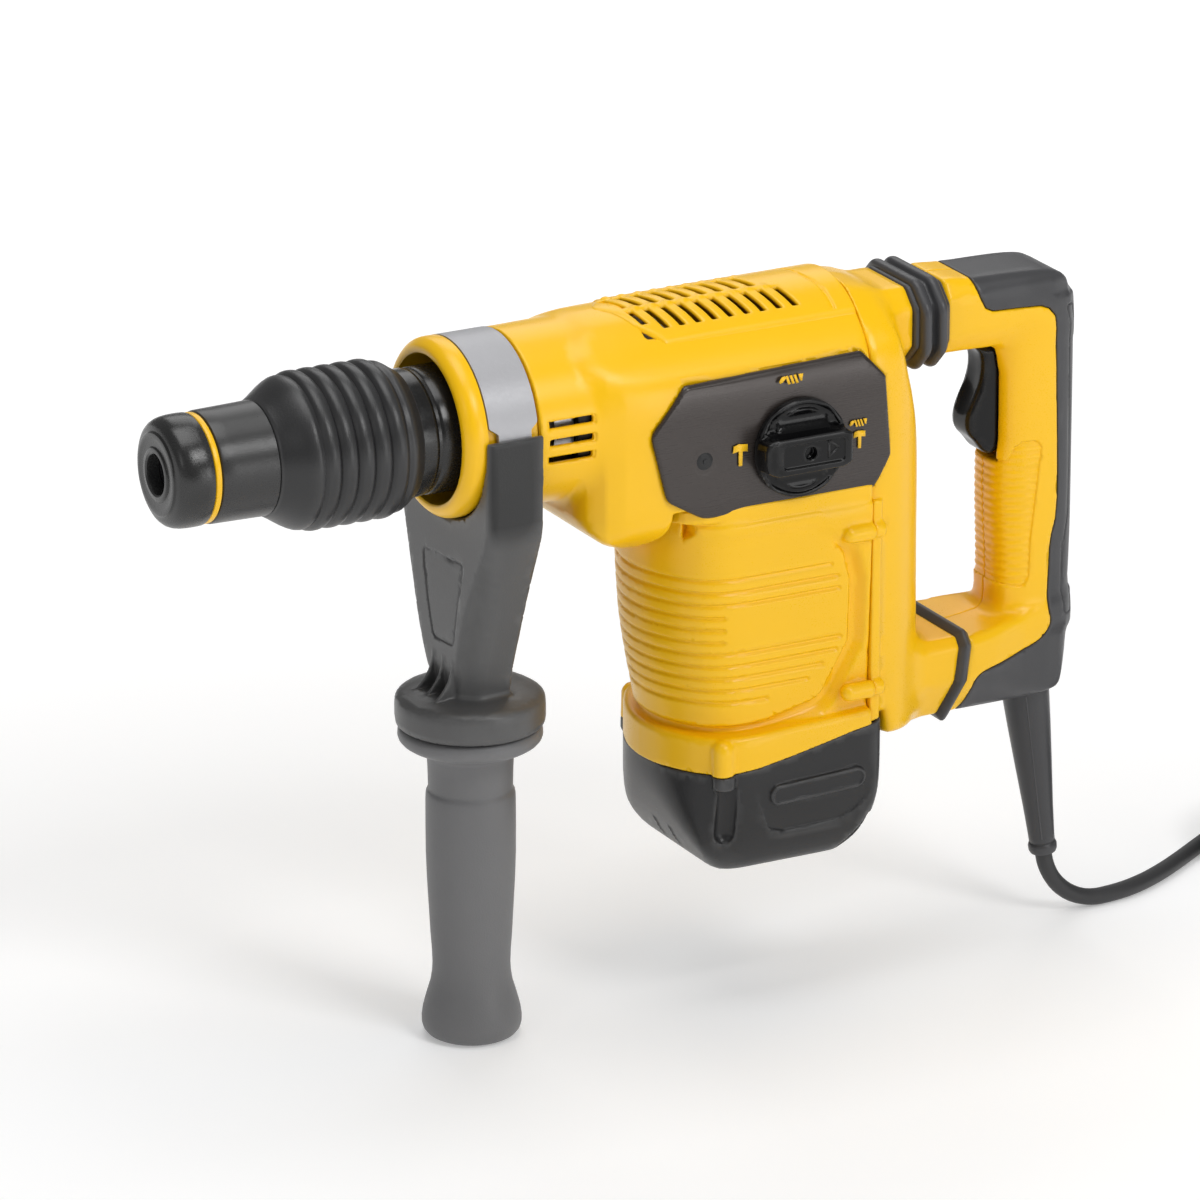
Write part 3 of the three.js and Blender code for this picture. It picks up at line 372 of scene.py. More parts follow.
def bx(x0, x1, y0, y1, z0, z1, r=0.0):
    c = ((x0 + x1) / 2, (y0 + y1) / 2, (z0 + z1) / 2)
    h = ((x1 - x0) / 2 - r, (y1 - y0) / 2 - r, (z1 - z0) / 2 - r)

    def f(X, Y, Z):
        a, b, d = np.abs(X - F32(c[0])) - F32(h[0]), np.abs(Y - F32(c[1])) - F32(h[1]), np.abs(Z - F32(c[2])) - F32(h[2])
        return np.minimum(np.maximum(a, np.maximum(b, d)), 0) + np.sqrt(np.maximum(a, 0) ** 2 + np.maximum(b, 0) ** 2 + np.maximum(d, 0) ** 2) - F32(r)

    return f


def cyX(y, z, R, x0, x1, r=0.0):
    return lambda X, Y, Z: edge(np.sqrt((Y - F32(y)) ** 2 + (Z - F32(z)) ** 2) - F32(R), np.abs(X - F32((x0 + x1) / 2)) - F32((x1 - x0) / 2), r)


def cyY(x, z, R, y0, y1, r=0.0):
    return lambda X, Y, Z: edge(np.sqrt((X - F32(x)) ** 2 + (Z - F32(z)) ** 2) - F32(R), np.abs(Y - F32((y0 + y1) / 2)) - F32((y1 - y0) / 2), r)


def cyZ(x, y, R, z0, z1, r=0.0):
    return lambda X, Y, Z: edge(np.sqrt((X - F32(x)) ** 2 + (Y - F32(y)) ** 2) - F32(R), np.abs(Z - F32((z0 + z1) / 2)) - F32((z1 - z0) / 2), r)


def capsule(a, b, R0, R1=None):
    a, b = np.array(a, float), np.array(b, float)
    R1 = R0 if R1 is None else R1
    e = b - a
    q = float(e @ e)

    def f(X, Y, Z):
        wx, wy, wz = X - F32(a[0]), Y - F32(a[1]), Z - F32(a[2])
        t = np.clip((wx * F32(e[0]) + wy * F32(e[1]) + wz * F32(e[2])) / F32(q), 0, 1)
        return np.sqrt((wx - F32(e[0]) * t) ** 2 + (wy - F32(e[1]) * t) ** 2 + (wz - F32(e[2]) * t) ** 2) - (F32(R0) + F32(R1 - R0) * t)

    return f


def plane(n, p):
    n = np.array(n, float)
    n = n / np.linalg.norm(n)
    c = float(n @ np.array(p, float))
    return lambda X, Y, Z: F32(n[0]) * X + F32(n[1]) * Y + F32(n[2]) * Z - F32(c)


def radX(prof):
    """Body of revolution about the tool axis: R(x) given by points, with slope corrected distance."""
    P = np.array(prof, float)

    def f(X, Y, Z):
        R = np.interp(X.reshape(-1), P[:, 0], P[:, 1]).astype(F32)
        s = np.gradient(R) / max(1e-6, float(X.reshape(-1)[1] - X.reshape(-1)[0])) if R.size > 1 else 0 * R
        w = (1 / np.sqrt(1 + s * s)).astype(F32)
        return (np.sqrt(Y * Y + Z * Z) - R.reshape(X.shape)) * w.reshape(X.shape)

    return f


class Vol:
    def __init__(self, lo, hi, h=None):
        self.h = h or H
        self.lo = np.array(lo, float) - 3 * self.h
        n = np.ceil((np.array(hi, float) - self.lo) / self.h).astype(int) + 4
        self.ax = [(self.lo[i] + self.h * np.arange(n[i])).astype(F32) for i in range(3)]
        self.d = np.full(tuple(n), 30, F32)

    def win(self, box, pad=0.0):
        sl = []
        for i in range(3):
            if box is None:
                sl.append(slice(0, len(self.ax[i])))
            else:
                a = int(np.searchsorted(self.ax[i], box[2 * i] - pad))
                b = int(np.searchsorted(self.ax[i], box[2 * i + 1] + pad))
                sl.append(slice(a, max(a, b)))
        X = self.ax[0][sl[0]].reshape(-1, 1, 1)
        Y = self.ax[1][sl[1]].reshape(1, -1, 1)
        Z = self.ax[2][sl[2]].reshape(1, 1, -1)
        return tuple(sl), X, Y, Z

    def do(self, f, how, k=0.0, box=None):
        sl, X, Y, Z = self.win(box)
        if 0 in (X.size, Y.size, Z.size) or X.size < 2:
            return self
        v = f(X, Y, Z)
        if how == "add":
            self.d[sl] = rmin(self.d[sl], v, k)
        elif how == "cut":
            self.d[sl] = rmax(self.d[sl], -v, k)
        else:
            self.d[sl] = rmax(self.d[sl], v, k)
        return self

    def add(self, f, k=0.0, box=None):
        return self.do(f, "add", k, box)

    def cut(self, f, k=0.0, box=None):
        return self.do(f, "cut", k, box)

    def clip(self, f, k=0.0, box=None):
        return self.do(f, "clip", k, box)

    def sample(self, P, grad=False):
        q = (P - self.lo) / self.h
        n = np.array(self.d.shape)
        q = np.clip(q, 1.001, n - 2.002)
        i = np.floor(q).astype(np.int64)
        f = (q - i).astype(F32)
        D = self.d.reshape(-1)
        s1, s2 = n[1] * n[2], n[2]
        b = i[:, 0] * s1 + i[:, 1] * s2 + i[:, 2]
        c = [D[b + dx * s1 + dy * s2 + dz] for dx in (0, 1) for dy in (0, 1) for dz in (0, 1)]
        fx, fy, fz = f[:, 0], f[:, 1], f[:, 2]
        c00 = c[0] * (1 - fz) + c[1] * fz
        c01 = c[2] * (1 - fz) + c[3] * fz
        c10 = c[4] * (1 - fz) + c[5] * fz
        c11 = c[6] * (1 - fz) + c[7] * fz
        c0, c1 = c00 * (1 - fy) + c01 * fy, c10 * (1 - fy) + c11 * fy
        return c0 * (1 - fx) + c1 * fx

    def mesh(self, name, mat, adapt=0.0, keep_largest=True):
        h = self.h
        self.d[0], self.d[-1], self.d[:, 0], self.d[:, -1], self.d[:, :, 0], self.d[:, :, -1] = (2 * h,) * 6
        g = openvdb.FloatGrid()
        g.copyFromArray(np.clip(self.d, -3 * h, 3 * h))
        pts, tris, quads = g.convertToPolygons(isovalue=0.0, adaptivity=adapt)
        P = self.lo + pts.astype(float) * h
        e = 0.6 * h
        for _ in range(2):
            N = np.stack([self.sample(P + np.eye(3)[i] * e) - self.sample(P - np.eye(3)[i] * e) for i in range(3)], 1).astype(float)
            N /= np.maximum(np.linalg.norm(N, axis=1, keepdims=True), 1e-9)
            P = P - N * np.clip(self.sample(P), -0.4 * h, 0.4 * h)[:, None]
        # outward facing
        T = np.vstack([tris.reshape(-1, 3), quads[:, [0, 1, 2]].reshape(-1, 3), quads[:, [0, 2, 3]].reshape(-1, 3)]) if len(quads) else tris
        a, b, c = P[T[:, 0]], P[T[:, 1]], P[T[:, 2]]
        if np.einsum("ij,ij->i", a, np.cross(b, c)).sum() < 0:
            tris, quads = tris[:, ::-1], quads[:, ::-1]
        if keep_largest:
            tris, quads, keep = largest(len(P), tris, quads)
            P, N = P[keep], N[keep]
        o = new_object(name, P, (tris, quads), mat, normals=N)
        return o


def largest(nv, tris, quads):
    """Only the connected shells that hold a fair share of the faces (drops crumbs)."""
    E = np.vstack([tris[:, [0, 1]], tris[:, [1, 2]], quads[:, [0, 1]], quads[:, [1, 2]], quads[:, [2, 3]]]) if len(tris) else np.vstack([quads[:, [0, 1]], quads[:, [1, 2]], quads[:, [2, 3]]])
    lab = np.arange(nv)
    for _ in range(400):
        m = np.minimum(lab[E[:, 0]], lab[E[:, 1]])
        new = lab.copy()
        np.minimum.at(new, E[:, 0], m)
        np.minimum.at(new, E[:, 1], m)
        new = new[new]
        new = new[new]
        if (new == lab).all():
            break
        lab = new
    ids, counts = np.unique(lab, return_counts=True)
    good = ids[counts >= max(40, 0.01 * counts.max())]
    vk = np.isin(lab, good)
    idx = np.cumsum(vk) - 1
    tris = idx[tris[vk[tris[:, 0]]]] if len(tris) else tris
    quads = idx[quads[vk[quads[:, 0]]]] if len(quads) else quads
    return tris.astype(np.int32), quads.astype(np.int32), vk


def revolve(name, prof, mat, axis="x", centre=(0, 0), n=None, matrix=None, smooth_deg=35):
    """Revolved closed profile, [along the axis, radius], with welded seams and pole caps."""
    n = n or (144)
    P = np.array(prof, float)
    ang = np.linspace(0, 2 * math.pi, n, endpoint=False)
    rows = []
    verts = []
    for a, r in P:
        if r <= 1e-9:
            rows.append([len(verts)])
            verts.append((a, 0, 0))
        else:
            rows.append(list(range(len(verts), len(verts) + n)))
            verts += [(a, r * math.cos(t), r * math.sin(t)) for t in ang]
    tris, quads = [], []
    m = len(P)
    closed = P[0][1] > 1e-9
    for i in range(m if closed else m - 1):
        A, B = rows[i], rows[(i + 1) % m]
        if len(A) == 1 and len(B) == 1:
            continue
        for j in range(n):
            k = (j + 1) % n
            if len(A) == 1:
                tris.append((A[0], B[k], B[j]))
            elif len(B) == 1:
                tris.append((A[j], A[k], B[0]))
            else:
                quads.append((A[j], A[k], B[k], B[j]))
    V = np.array(verts)
    if axis == "z":
        V = np.stack([V[:, 1] + centre[0], V[:, 2] + centre[1], V[:, 0]], 1)
    elif axis == "x":
        V = np.stack([V[:, 0], V[:, 1] + centre[0], V[:, 2] + centre[1]], 1)
    elif axis == "y":
        V = np.stack([V[:, 2] + centre[0], V[:, 0], V[:, 1] + centre[1]], 1)
    if matrix is not None:
        V = V @ np.array(matrix)[:3, :3].T + np.array(matrix)[:3, 3]
    T = np.array(tris, np.int64).reshape(-1, 3)
    Q = np.array(quads, np.int64).reshape(-1, 4)
    tt = np.vstack([T, Q[:, [0, 1, 2]], Q[:, [0, 2, 3]]])
    if np.einsum("ij,ij->i", V[tt[:, 0]], np.cross(V[tt[:, 1]], V[tt[:, 2]])).sum() < 0:
        T, Q = T[:, ::-1], Q[:, ::-1]
    o = new_object(name, V, (T, Q), mat)
    sharp_by_angle(o, smooth_deg)
    return o


def sharp_by_angle(o, deg):
    bpy.context.view_layer.objects.active = o
    for q in bpy.context.selected_objects:
        q.select_set(False)
    o.select_set(True)
    bpy.ops.object.shade_smooth_by_angle(angle=math.radians(deg), keep_sharp_edges=True)
    o.select_set(False)


def bead(pts, r, closed=False, seg=3):
    """Profile with every corner rounded by r, for revolved pieces."""
    P = [tuple(p) for p in pts]
    if closed:
        return rounded(P, [r] * len(P) if not isinstance(r, list) else r, seg)
    inner = rounded(P, [0] + ([r] * (len(P) - 2) if not isinstance(r, list) else r) + [0], seg)
    return inner


def tube(name, path, radius, mat, sides=16, cap=True):
    """Swept round tube along a path of points (mm) with parallel-transport frames."""
    P = np.array(path, float)
    n = len(P)
    T = np.gradient(P, axis=0)
    T /= np.linalg.norm(T, axis=1, keepdims=True)
    ref = np.array([0, 1, 0.0]) if abs(T[0][1]) < 0.9 else np.array([1, 0, 0.0])
    u = np.cross(T[0], ref); u /= np.linalg.norm(u)
    R = np.full(n, float(radius)) if np.isscalar(radius) else np.asarray(radius, float)
    V = []
    for i in range(n):
        u = u - T[i] * (u @ T[i]); u /= np.linalg.norm(u)
        w = np.cross(T[i], u)
        a = np.linspace(0, 2 * math.pi, sides, endpoint=False)
        V.append(P[i] + R[i] * (np.cos(a)[:, None] * u + np.sin(a)[:, None] * w))
    V = np.vstack(V)
    Q = []
    for i in range(n - 1):
        for j in range(sides):
            k = (j + 1) % sides
            Q.append((i * sides + j, i * sides + k, (i + 1) * sides + k, (i + 1) * sides + j))
    Tn = []
    if cap:
        c0, c1 = len(V), len(V) + 1
        V = np.vstack([V, P[0], P[-1]])
        for j in range(sides):
            k = (j + 1) % sides
            Tn.append((c0, k, j))
            Tn.append((c1, (n - 1) * sides + j, (n - 1) * sides + k))
    Q = np.array(Q); Tn = np.array(Tn).reshape(-1, 3)
    tt = np.vstack([Tn, Q[:, [0, 1, 2]], Q[:, [0, 2, 3]]])
    if np.einsum("ij,ij->i", V[tt[:, 0]], np.cross(V[tt[:, 1]], V[tt[:, 2]])).sum() < 0:
        Q, Tn = Q[:, ::-1], Tn[:, ::-1]
    o = new_object(name, V, (Tn, Q), mat)
    sharp_by_angle(o, 50)
    return o

# ================================================================== mains cord
CORD_R = 4.1
FLOOR_Z = -295.75
sdir = np.array([12.0, 0, -88.0]); sdir /= np.linalg.norm(sdir)
strain0 = np.array([314.4, 0, -178.4])
strain1 = strain0 + sdir * 89
start = strain1 + 0.7 * sdir
route = [strain1 - 7.0 * sdir, strain1 - 3.0 * sdir]
phi0 = math.atan2(sdir[0], -sdir[2])
bendR = (start[2] - FLOOR_Z) / (1 - math.sin(phi0))
for k in range(9):
    ph = phi0 + (k / 8) * (math.pi / 2 - phi0)
    route.append((start[0] + bendR * (math.cos(phi0) - math.cos(ph)), 0, start[2] - bendR * (math.sin(ph) - math.sin(phi0))))
end0 = route[-1]
for k in range(1, 10):
    s = k / 10
    route.append((end0[0] + (499 - end0[0]) * s, 60.3 * s * s * (3 - 2 * s), FLOOR_Z))
R_IN, R_OUT, STEP = 34.5, 60.3, 8.4
coil = []
PER = 16
a0 = math.pi / 2


def wind(turns, r0, r1, z0, z1):
    global a0
    n = max(4, int(round(turns * PER)))
    for k in range(n):
        t = k / n
        e = t * t * (3 - 2 * t) if r0 == r1 else t
        a = a0 - 2 * math.pi * turns * t
        r = r0 + (r1 - r0) * t
        coil.append((499 + r * math.cos(a), r * math.sin(a), z0 + (z1 - z0) * e))
    a0 -= 2 * math.pi * turns


z = FLOOR_Z
for layer in range(4):
    inward = layer % 2 == 0
    ra, rb = (R_OUT, R_IN) if inward else (R_IN, R_OUT)
    wind(3, ra, rb, z, z)
    if layer < 3:
        wind(1 / 3, rb, rb, z, z + STEP)
        z += STEP
top = FLOOR_Z + 3 * STEP
plugZ, plugX = -281.8, 562.0
tail = [(499, 60.3, top), (513, 60.3, top), (525, 60.3, top - 1.2), (541, 60.3, (top + plugZ) / 2), (556, 60.3, plugZ + 0.8), (568, 60.3, plugZ)]
cord_pts = [tuple(map(float, p)) for p in route + coil + tail]
cu = bpy.data.curves.new("mains_cord", "CURVE")
cu.dimensions = "3D"
sp = cu.splines.new("BEZIER")
sp.bezier_points.add(len(cord_pts) - 1)
CP = place(cord_pts)
for i, bp in enumerate(sp.bezier_points):
    bp.co = CP[i]
    a, b = CP[max(0, i - 1)], CP[min(len(CP) - 1, i + 1)]
    t = (b - a) / max(1e-9, np.linalg.norm(b - a))
    la = np.linalg.norm(CP[i] - CP[max(0, i - 1)]) / 3
    lb = np.linalg.norm(CP[min(len(CP) - 1, i + 1)] - CP[i]) / 3
    bp.handle_left_type = bp.handle_right_type = "FREE"
    bp.handle_left = CP[i] - t * (la or lb)
    bp.handle_right = CP[i] + t * (lb or la)
sp.resolution_u = 6
cu.bevel_depth = CORD_R / 1000
cu.bevel_resolution = 4
cu.use_fill_caps = True
cu.materials.append(MAT["cord"])
cord_ob = bpy.data.objects.new("mains_cord", cu)
bpy.context.scene.collection.objects.link(cord_ob)
finish_piece(cord_ob, "root", ("cord_tube", "cord_coil", "cord_tail"))

plug_prof = [(562, 0), (562, 5.6), (563, 6.4)]
for i in range(4):
    x = 565 + i * 3.4
    plug_prof += [(579.5, 12.2), (582, 15.2), (585, 17.2), (589, 18), (600, 18), (602.2, 17.4), (603, 16.2), (603, 0)]
plug_prof += [(579.5, 12.2), (582, 15.2), (585, 17.2), (589, 18), (600, 18), (602.2, 17.4), (603, 16.2), (603, 0)]
plug = revolve("mains_plug", plug_prof, MAT["black"], centre=(60.3, plugZ), n=72)
for s in (-1, 1):
    pin = revolve("plug_pin_" + ("a" if s < 0 else "b"), [(602, 0), (602, 2.4), (620, 2.4), (621.4, 1.9), (622, 1.0), (622, 0)], MAT["pin"], centre=(60.3 + 9.5 * s, plugZ), n=24)
    pin.parent = plug
finish_piece(plug, "root", ("plug",))
# tie round the coil's bundle: a flat strap loop
tie_pts = rounded([(29.7, -299.6), (65.3, -299.6), (65.3, -265.2), (29.7, -265.2)], 5.0, 6)
tv, tq = [], []
m = len(tie_pts)
for (u_, z_), (nu, nz) in zip(tie_pts, [(0, 0)] * m):
    cx_, cz_ = 47.5, -282.4
    d_ = np.array([u_ - cx_, z_ - cz_]); d_ /= np.linalg.norm(d_)
    for w_, o_ in ((-6.5, 0.0), (6.5, 0.0), (6.5, 1.0), (-6.5, 1.0)):
        tv.append((499 + w_, -(u_ + (d_[0] * o_ if o_ else 0)), max(-299.95, z_ + (d_[1] * o_ if o_ else 0))))
for i in range(m):
    j = (i + 1) % m
    for k in range(4):
        l_ = (k + 1) % 4
        tq.append((i * 4 + k, j * 4 + k, j * 4 + l_, i * 4 + l_))
tie = new_object("cord_tie", tv, (np.zeros((0, 3), int), np.array(tq)), MAT["rubber"])
sharp_by_angle(tie, 40)
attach(tie, "root")

# ------------------------------------------------------------------ studio
world = bpy.data.worlds.new("studio")
bpy.context.scene.world = world
world.use_nodes = True
bg = world.node_tree.nodes["Background"]
bg.inputs[0].default_value = (1.0, 1.0, 1.0, 1)
bg.inputs[1].default_value = 0.22
bpy.context.scene.view_settings.view_transform = "Standard"
floor_me = bpy.data.meshes.new("floor")
floor_me.from_pydata([(-40, -40, 0), (40, -40, 0), (40, 60, 0), (-40, 60, 0)], [], [(0, 1, 2, 3)])
floor = bpy.data.objects.new("floor", floor_me)
bpy.context.scene.collection.objects.link(floor)
fm = bpy.data.materials.new("floor_paper")
fm.use_nodes = True
fn, fl = fm.node_tree.nodes, fm.node_tree.links
fb = fn["Principled BSDF"]
fb.inputs["Base Color"].default_value = (0.82, 0.82, 0.82, 1)
fb.inputs["Roughness"].default_value = 0.9
fb.inputs["Specular IOR Level"].default_value = 0.1
fb.inputs["Emission Color"].default_value = (1, 1, 1, 1)
ftc = fn.new("ShaderNodeTexCoord")
flen = fn.new("ShaderNodeVectorMath")
flen.operation = "LENGTH"
fl.new(ftc.outputs["Object"], flen.inputs[0])
fmr = fn.new("ShaderNodeMapRange")
fmr.inputs["From Min"].default_value, fmr.inputs["From Max"].default_value = 0.25, 2.2
fmr.inputs["To Min"].default_value, fmr.inputs["To Max"].default_value = 0.28, 0.86
fl.new(flen.outputs["Value"], fmr.inputs["Value"])
fl.new(fmr.outputs[0], fb.inputs["Emission Strength"])
floor_me.materials.append(fm)
floor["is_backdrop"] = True


def area(name, loc, target, size, energy, size_y=None, col=(1, 1, 1)):
    d = bpy.data.lights.new(name, "AREA")
    d.energy, d.size, d.color = energy, size, col
    if size_y:
        d.shape, d.size_y = "RECTANGLE", size_y
    o = bpy.data.objects.new(name, d)
    bpy.context.scene.collection.objects.link(o)
    o.location = loc
    o.rotation_euler = (Vector(target) - Vector(loc)).to_track_quat("-Z", "Y").to_euler()
    return o


area("key", (0.5, -1.7, 1.9), (0.0, 0, 0.2), 0.8, 17)
area("rim", (0.7, 1.5, 1.6), (0.05, 0, 0.25), 1.3, 8)
area("left", (-1.7, -0.9, 1.2), (0.0, 0, 0.2), 0.6, 1.6)
area("low", (0.9, -2.0, 0.5), (0.0, 0, 0.2), 0.7, 5.5)
area("top", (-0.1, 0.0, 1.9), (0.0, 0, 0.2), 1.2, 14)

# ================================================================== nose and chuck
TAU = 2 * math.pi
cap_prof = [(-139.0, 9.25), (-140.4, 9.5), (-141.0, 10.3), (-141.0, 12.0), (-140.7, 12.5), (-140.2, 12.9), (-140.15, 13.6), (-140.55, 16.6), (-140.7, 18.2), (-140.5, 18.9), (-139.9, 19.3),
            (-139.55, 20.1), (-139.3, 21.6), (-138.4, 23.2), (-137.0, 24.4), (-135.2, 25.2), (-132.8, 25.7), (-130.0, 25.95), (-126.5, 26.0), (-123.6, 25.9), (-122.9, 25.65), (-122.65, 25.1), (-122.65, 15.9), (-134.3, 15.9), (-134.3, 9.25)]
o = revolve("nose_cap_shell", cap_prof, MAT["nose"])
finish_piece(o, "spindle", ("nose_cap",))
o = revolve("nose_band_ring", [(-122.35, 15.9), (-122.35, 24.9), (-122.0, 25.35), (-121.2, 25.5), (-120.4, 25.5), (-119.6, 25.35), (-119.3, 24.9), (-119.3, 15.9)], MAT["yellow_band"])
finish_piece(o, "spindle", ("nose_band",))
o = revolve("chuck_front_tube", [(-119.05, 15.9), (-119.05, 25.1), (-118.6, 25.75), (-117.6, 26.0), (-112, 26.1), (-104, 26.25), (-96, 26.4), (-91.2, 26.55), (-90.95, 26.3), (-90.9, 23.4), (-72, 23.4), (-72, 15.9)], MAT["tube"])
finish_piece(o, "spindle", ("chuck_front_sleeve",))
sl = [(-90.6, 24.2), (-90.6, 26.5), (-90.2, 27.1), (-89.2, 27.6), (-86.8, 29.0), (-84.0, 30.9), (-81.0, 32.9), (-78.5, 34.3), (-76.4, 35.2), (-74.8, 35.45), (-73.9, 35.25)]
for i in range(5):
    c = -68.5 + 8.5 * i
    if i == 0:
        sl += [(-73.0, 34.95)]
    for t in np.linspace(-1, 1, 11):
        if i > 0 and t == -1:
            continue
        sl.append((c + 4.0 * t, 36.75 - 1.9 * abs(t) ** 2.6))
    if i < 4:
        sl += [(c + 4.12, 34.6)]
sl += [(-29.8, 34.6), (-28.4, 35.15), (-27.0, 34.9), (-25.2, 33.9), (-23.3, 32.5), (-21.4, 31.3), (-20.6, 30.8), (-20.3, 30.2), (-70.5, 30.2), (-70.5, 24.2)]
o = revolve("lock_sleeve_rubber", sl, MAT["sleeve"], smooth_deg=50)
finish_piece(o, "lock_sleeve", ("lock_sleeve",))
o = revolve("chuck_neck_tube", [(-61, 15.9), (-61, 29.2), (-60.4, 29.6), (-14, 29.6), (-12.6, 29.3), (-12.2, 29.0), (-10.8, 29.0), (-10.4, 29.3), (-9, 29.6), (20, 29.6), (20, 22.4), (-22.4, 22.4), (-22.4, 15.9)], MAT["neck"])
finish_piece(o, "spindle", ("chuck_neck",))

# ================================================================== collar ring, clamp band
o = revolve("collar_front_ring", [(-4.1, 35.1), (-4.6, 35.6), (-4.8, 36.2), (-4.75, 37.6), (-4.2, 38.7), (-3.0, 40.0), (-1.6, 41.1), (-0.2, 41.7), (1.4, 41.95), (2.4, 42.0), (5.6, 41.95), (6.1, 41.7), (6.2, 41.2), (6.2, 39.2), (32.4, 39.2), (32.4, 34), (8, 35.1)], MAT["yellow"])
finish_piece(o, "root", ("collar_ring",))


def band_grid(name, x_of, a_lo, a_hi, R0, R1, mat, n=160, nx=8):
    """Bent strip: x range as a function of the angle about the tool axis (0 at +Y, 90 deg at +Z)."""
    V, Q = [], []
    A = np.linspace(a_lo, a_hi, n)
    for a in A:
        xa, xb = x_of(a)
        for R in (R0, R1):
            for k in range(nx + 1):
                V.append((xa + (xb - xa) * k / nx, R * math.cos(a), R * math.sin(a)))
    w = nx + 1
    for i in range(n - 1):
        b, c = i * 2 * w, (i + 1) * 2 * w
        for k in range(nx):
            Q.append((b + k, c + k, c + k + 1, b + k + 1))
            Q.append((b + w + k, b + w + k + 1, c + w + k + 1, c + w + k))
        Q.append((b, b + w, c + w, c))
        Q.append((b + nx, c + nx, c + w + nx, b + w + nx))
    for i in (0, n - 1):
        b = i * 2 * w
        for k in range(nx):
            Q.append((b + k, b + k + 1, b + w + k + 1, b + w + k) if i == 0 else (b + k + 1, b + k, b + w + k, b + w + k + 1))
    o = new_object(name, V, (np.zeros((0, 3), int), np.array(Q)), mat)
    import bmesh
    bm = bmesh.new()
    bm.from_mesh(o.data)
    bmesh.ops.recalc_face_normals(bm, faces=bm.faces)
    bm.to_mesh(o.data)
    bm.free()
    sharp_by_angle(o, 40)
    return o


def band_x(a):
    # full width over the top, stepping in to the tabs near z = 6..11
    zz = 41.8 * math.sin(a)
    if zz > 10.6:
        t = 0.0
    elif zz < 6.4:
        t = 1.0
    else:
        t = (10.6 - zz) / 4.2
    t = t * t * (3 - 2 * t)
    return 6.7 + 4.4 * t, 31.2 - 3.5 * t


o = band_grid("collar_band", band_x, math.radians(-38), math.radians(218), 39.6, 42.0, MAT["band"], n=260)
finish_piece(o, "side_handle", ("clamp_band",))

# ================================================================== housings
mirror = lambda half: half + [(-a, b) for a, b in reversed(half) if a != 0]
plan_of = lambda half: half + [(x, -y) for x, y in reversed(half) if y != 0]
SEAM_X = 202.6
caseHalf = [(0, 44.2), (14, 42.4), (26, 37.2), (35, 30.6), (41.5, 23), (45.4, 14), (47, 4), (47, -42), (44, -49.5), (36.8, -57), (26, -63.4), (13, -69.4), (0, -72.6)]
caseSmooth = smooth_line([(0, 43.4), (14, 41.2), (25, 35.8), (34.4, 28.4), (41.2, 20.6), (45.2, 12.4), (46.9, 4), (47, -4)], 4) + [(47, -42)] + smooth_line([(46.6, -44.5), (44.6, -49.0), (36.8, -57), (26, -63.4), (13, -69.4), (0, -72.6)], 3)
caseXZ = [(55.5, 26), (57.2, 0), (58, -46), (61.6, -51.4), (68, -57.2), (75, -61.8), (84, -67), (94, -71.6), (100, -73.4), (100, -45), (SEAM_X, -45), (SEAM_X, 47), (82, 47), (70, 42), (60, 34)]
caseXY = [(56, -24), (60.5, -34), (66, -40.6), (74, -44.6), (84, -46.4), (94, -47), (230, -47)]
spinePlan = [(SEAM_X, -47), (209.5, -46.9), (214, -46), (221, -43), (229, -37.6), (236, -30.5), (241.4, -21.5), (244.8, -11), (246, 0)]
_case_yz = poly(mirror(caseSmooth))
_case_xy = poly(plan_of(caseXY))
_wall_xy = poly([(x, y) for x, y in caseXY[:-1]] + spinePlan[:-1] + [(250, 20), (56, 20)])
_wall_yz = poly(mirror(caseSmooth[:-12] + [(47, -90), (0, -90)]))


def case_d(X, Y, Z, k=7.0):
    return rmax(_case_yz(Y, Z), _case_xy(X, Y), k)


def wall_d(X, Y, Z, k=5.0):
    yz = poly([(-60, 60)] + [(-a, b) for a, b in caseSmooth if b > -43] + [(-47, -90), (60, -90), (60, 60)])
    return rmax(_wall_yz(Y, Z), _wall_xy(X, Y), k)


tube_d = radX([(30, 41.55), (32.8, 41.6), (33.4, 41.7), (66, 42.25), (80, 43.2), (92, 43.6), (204, 43.6)])


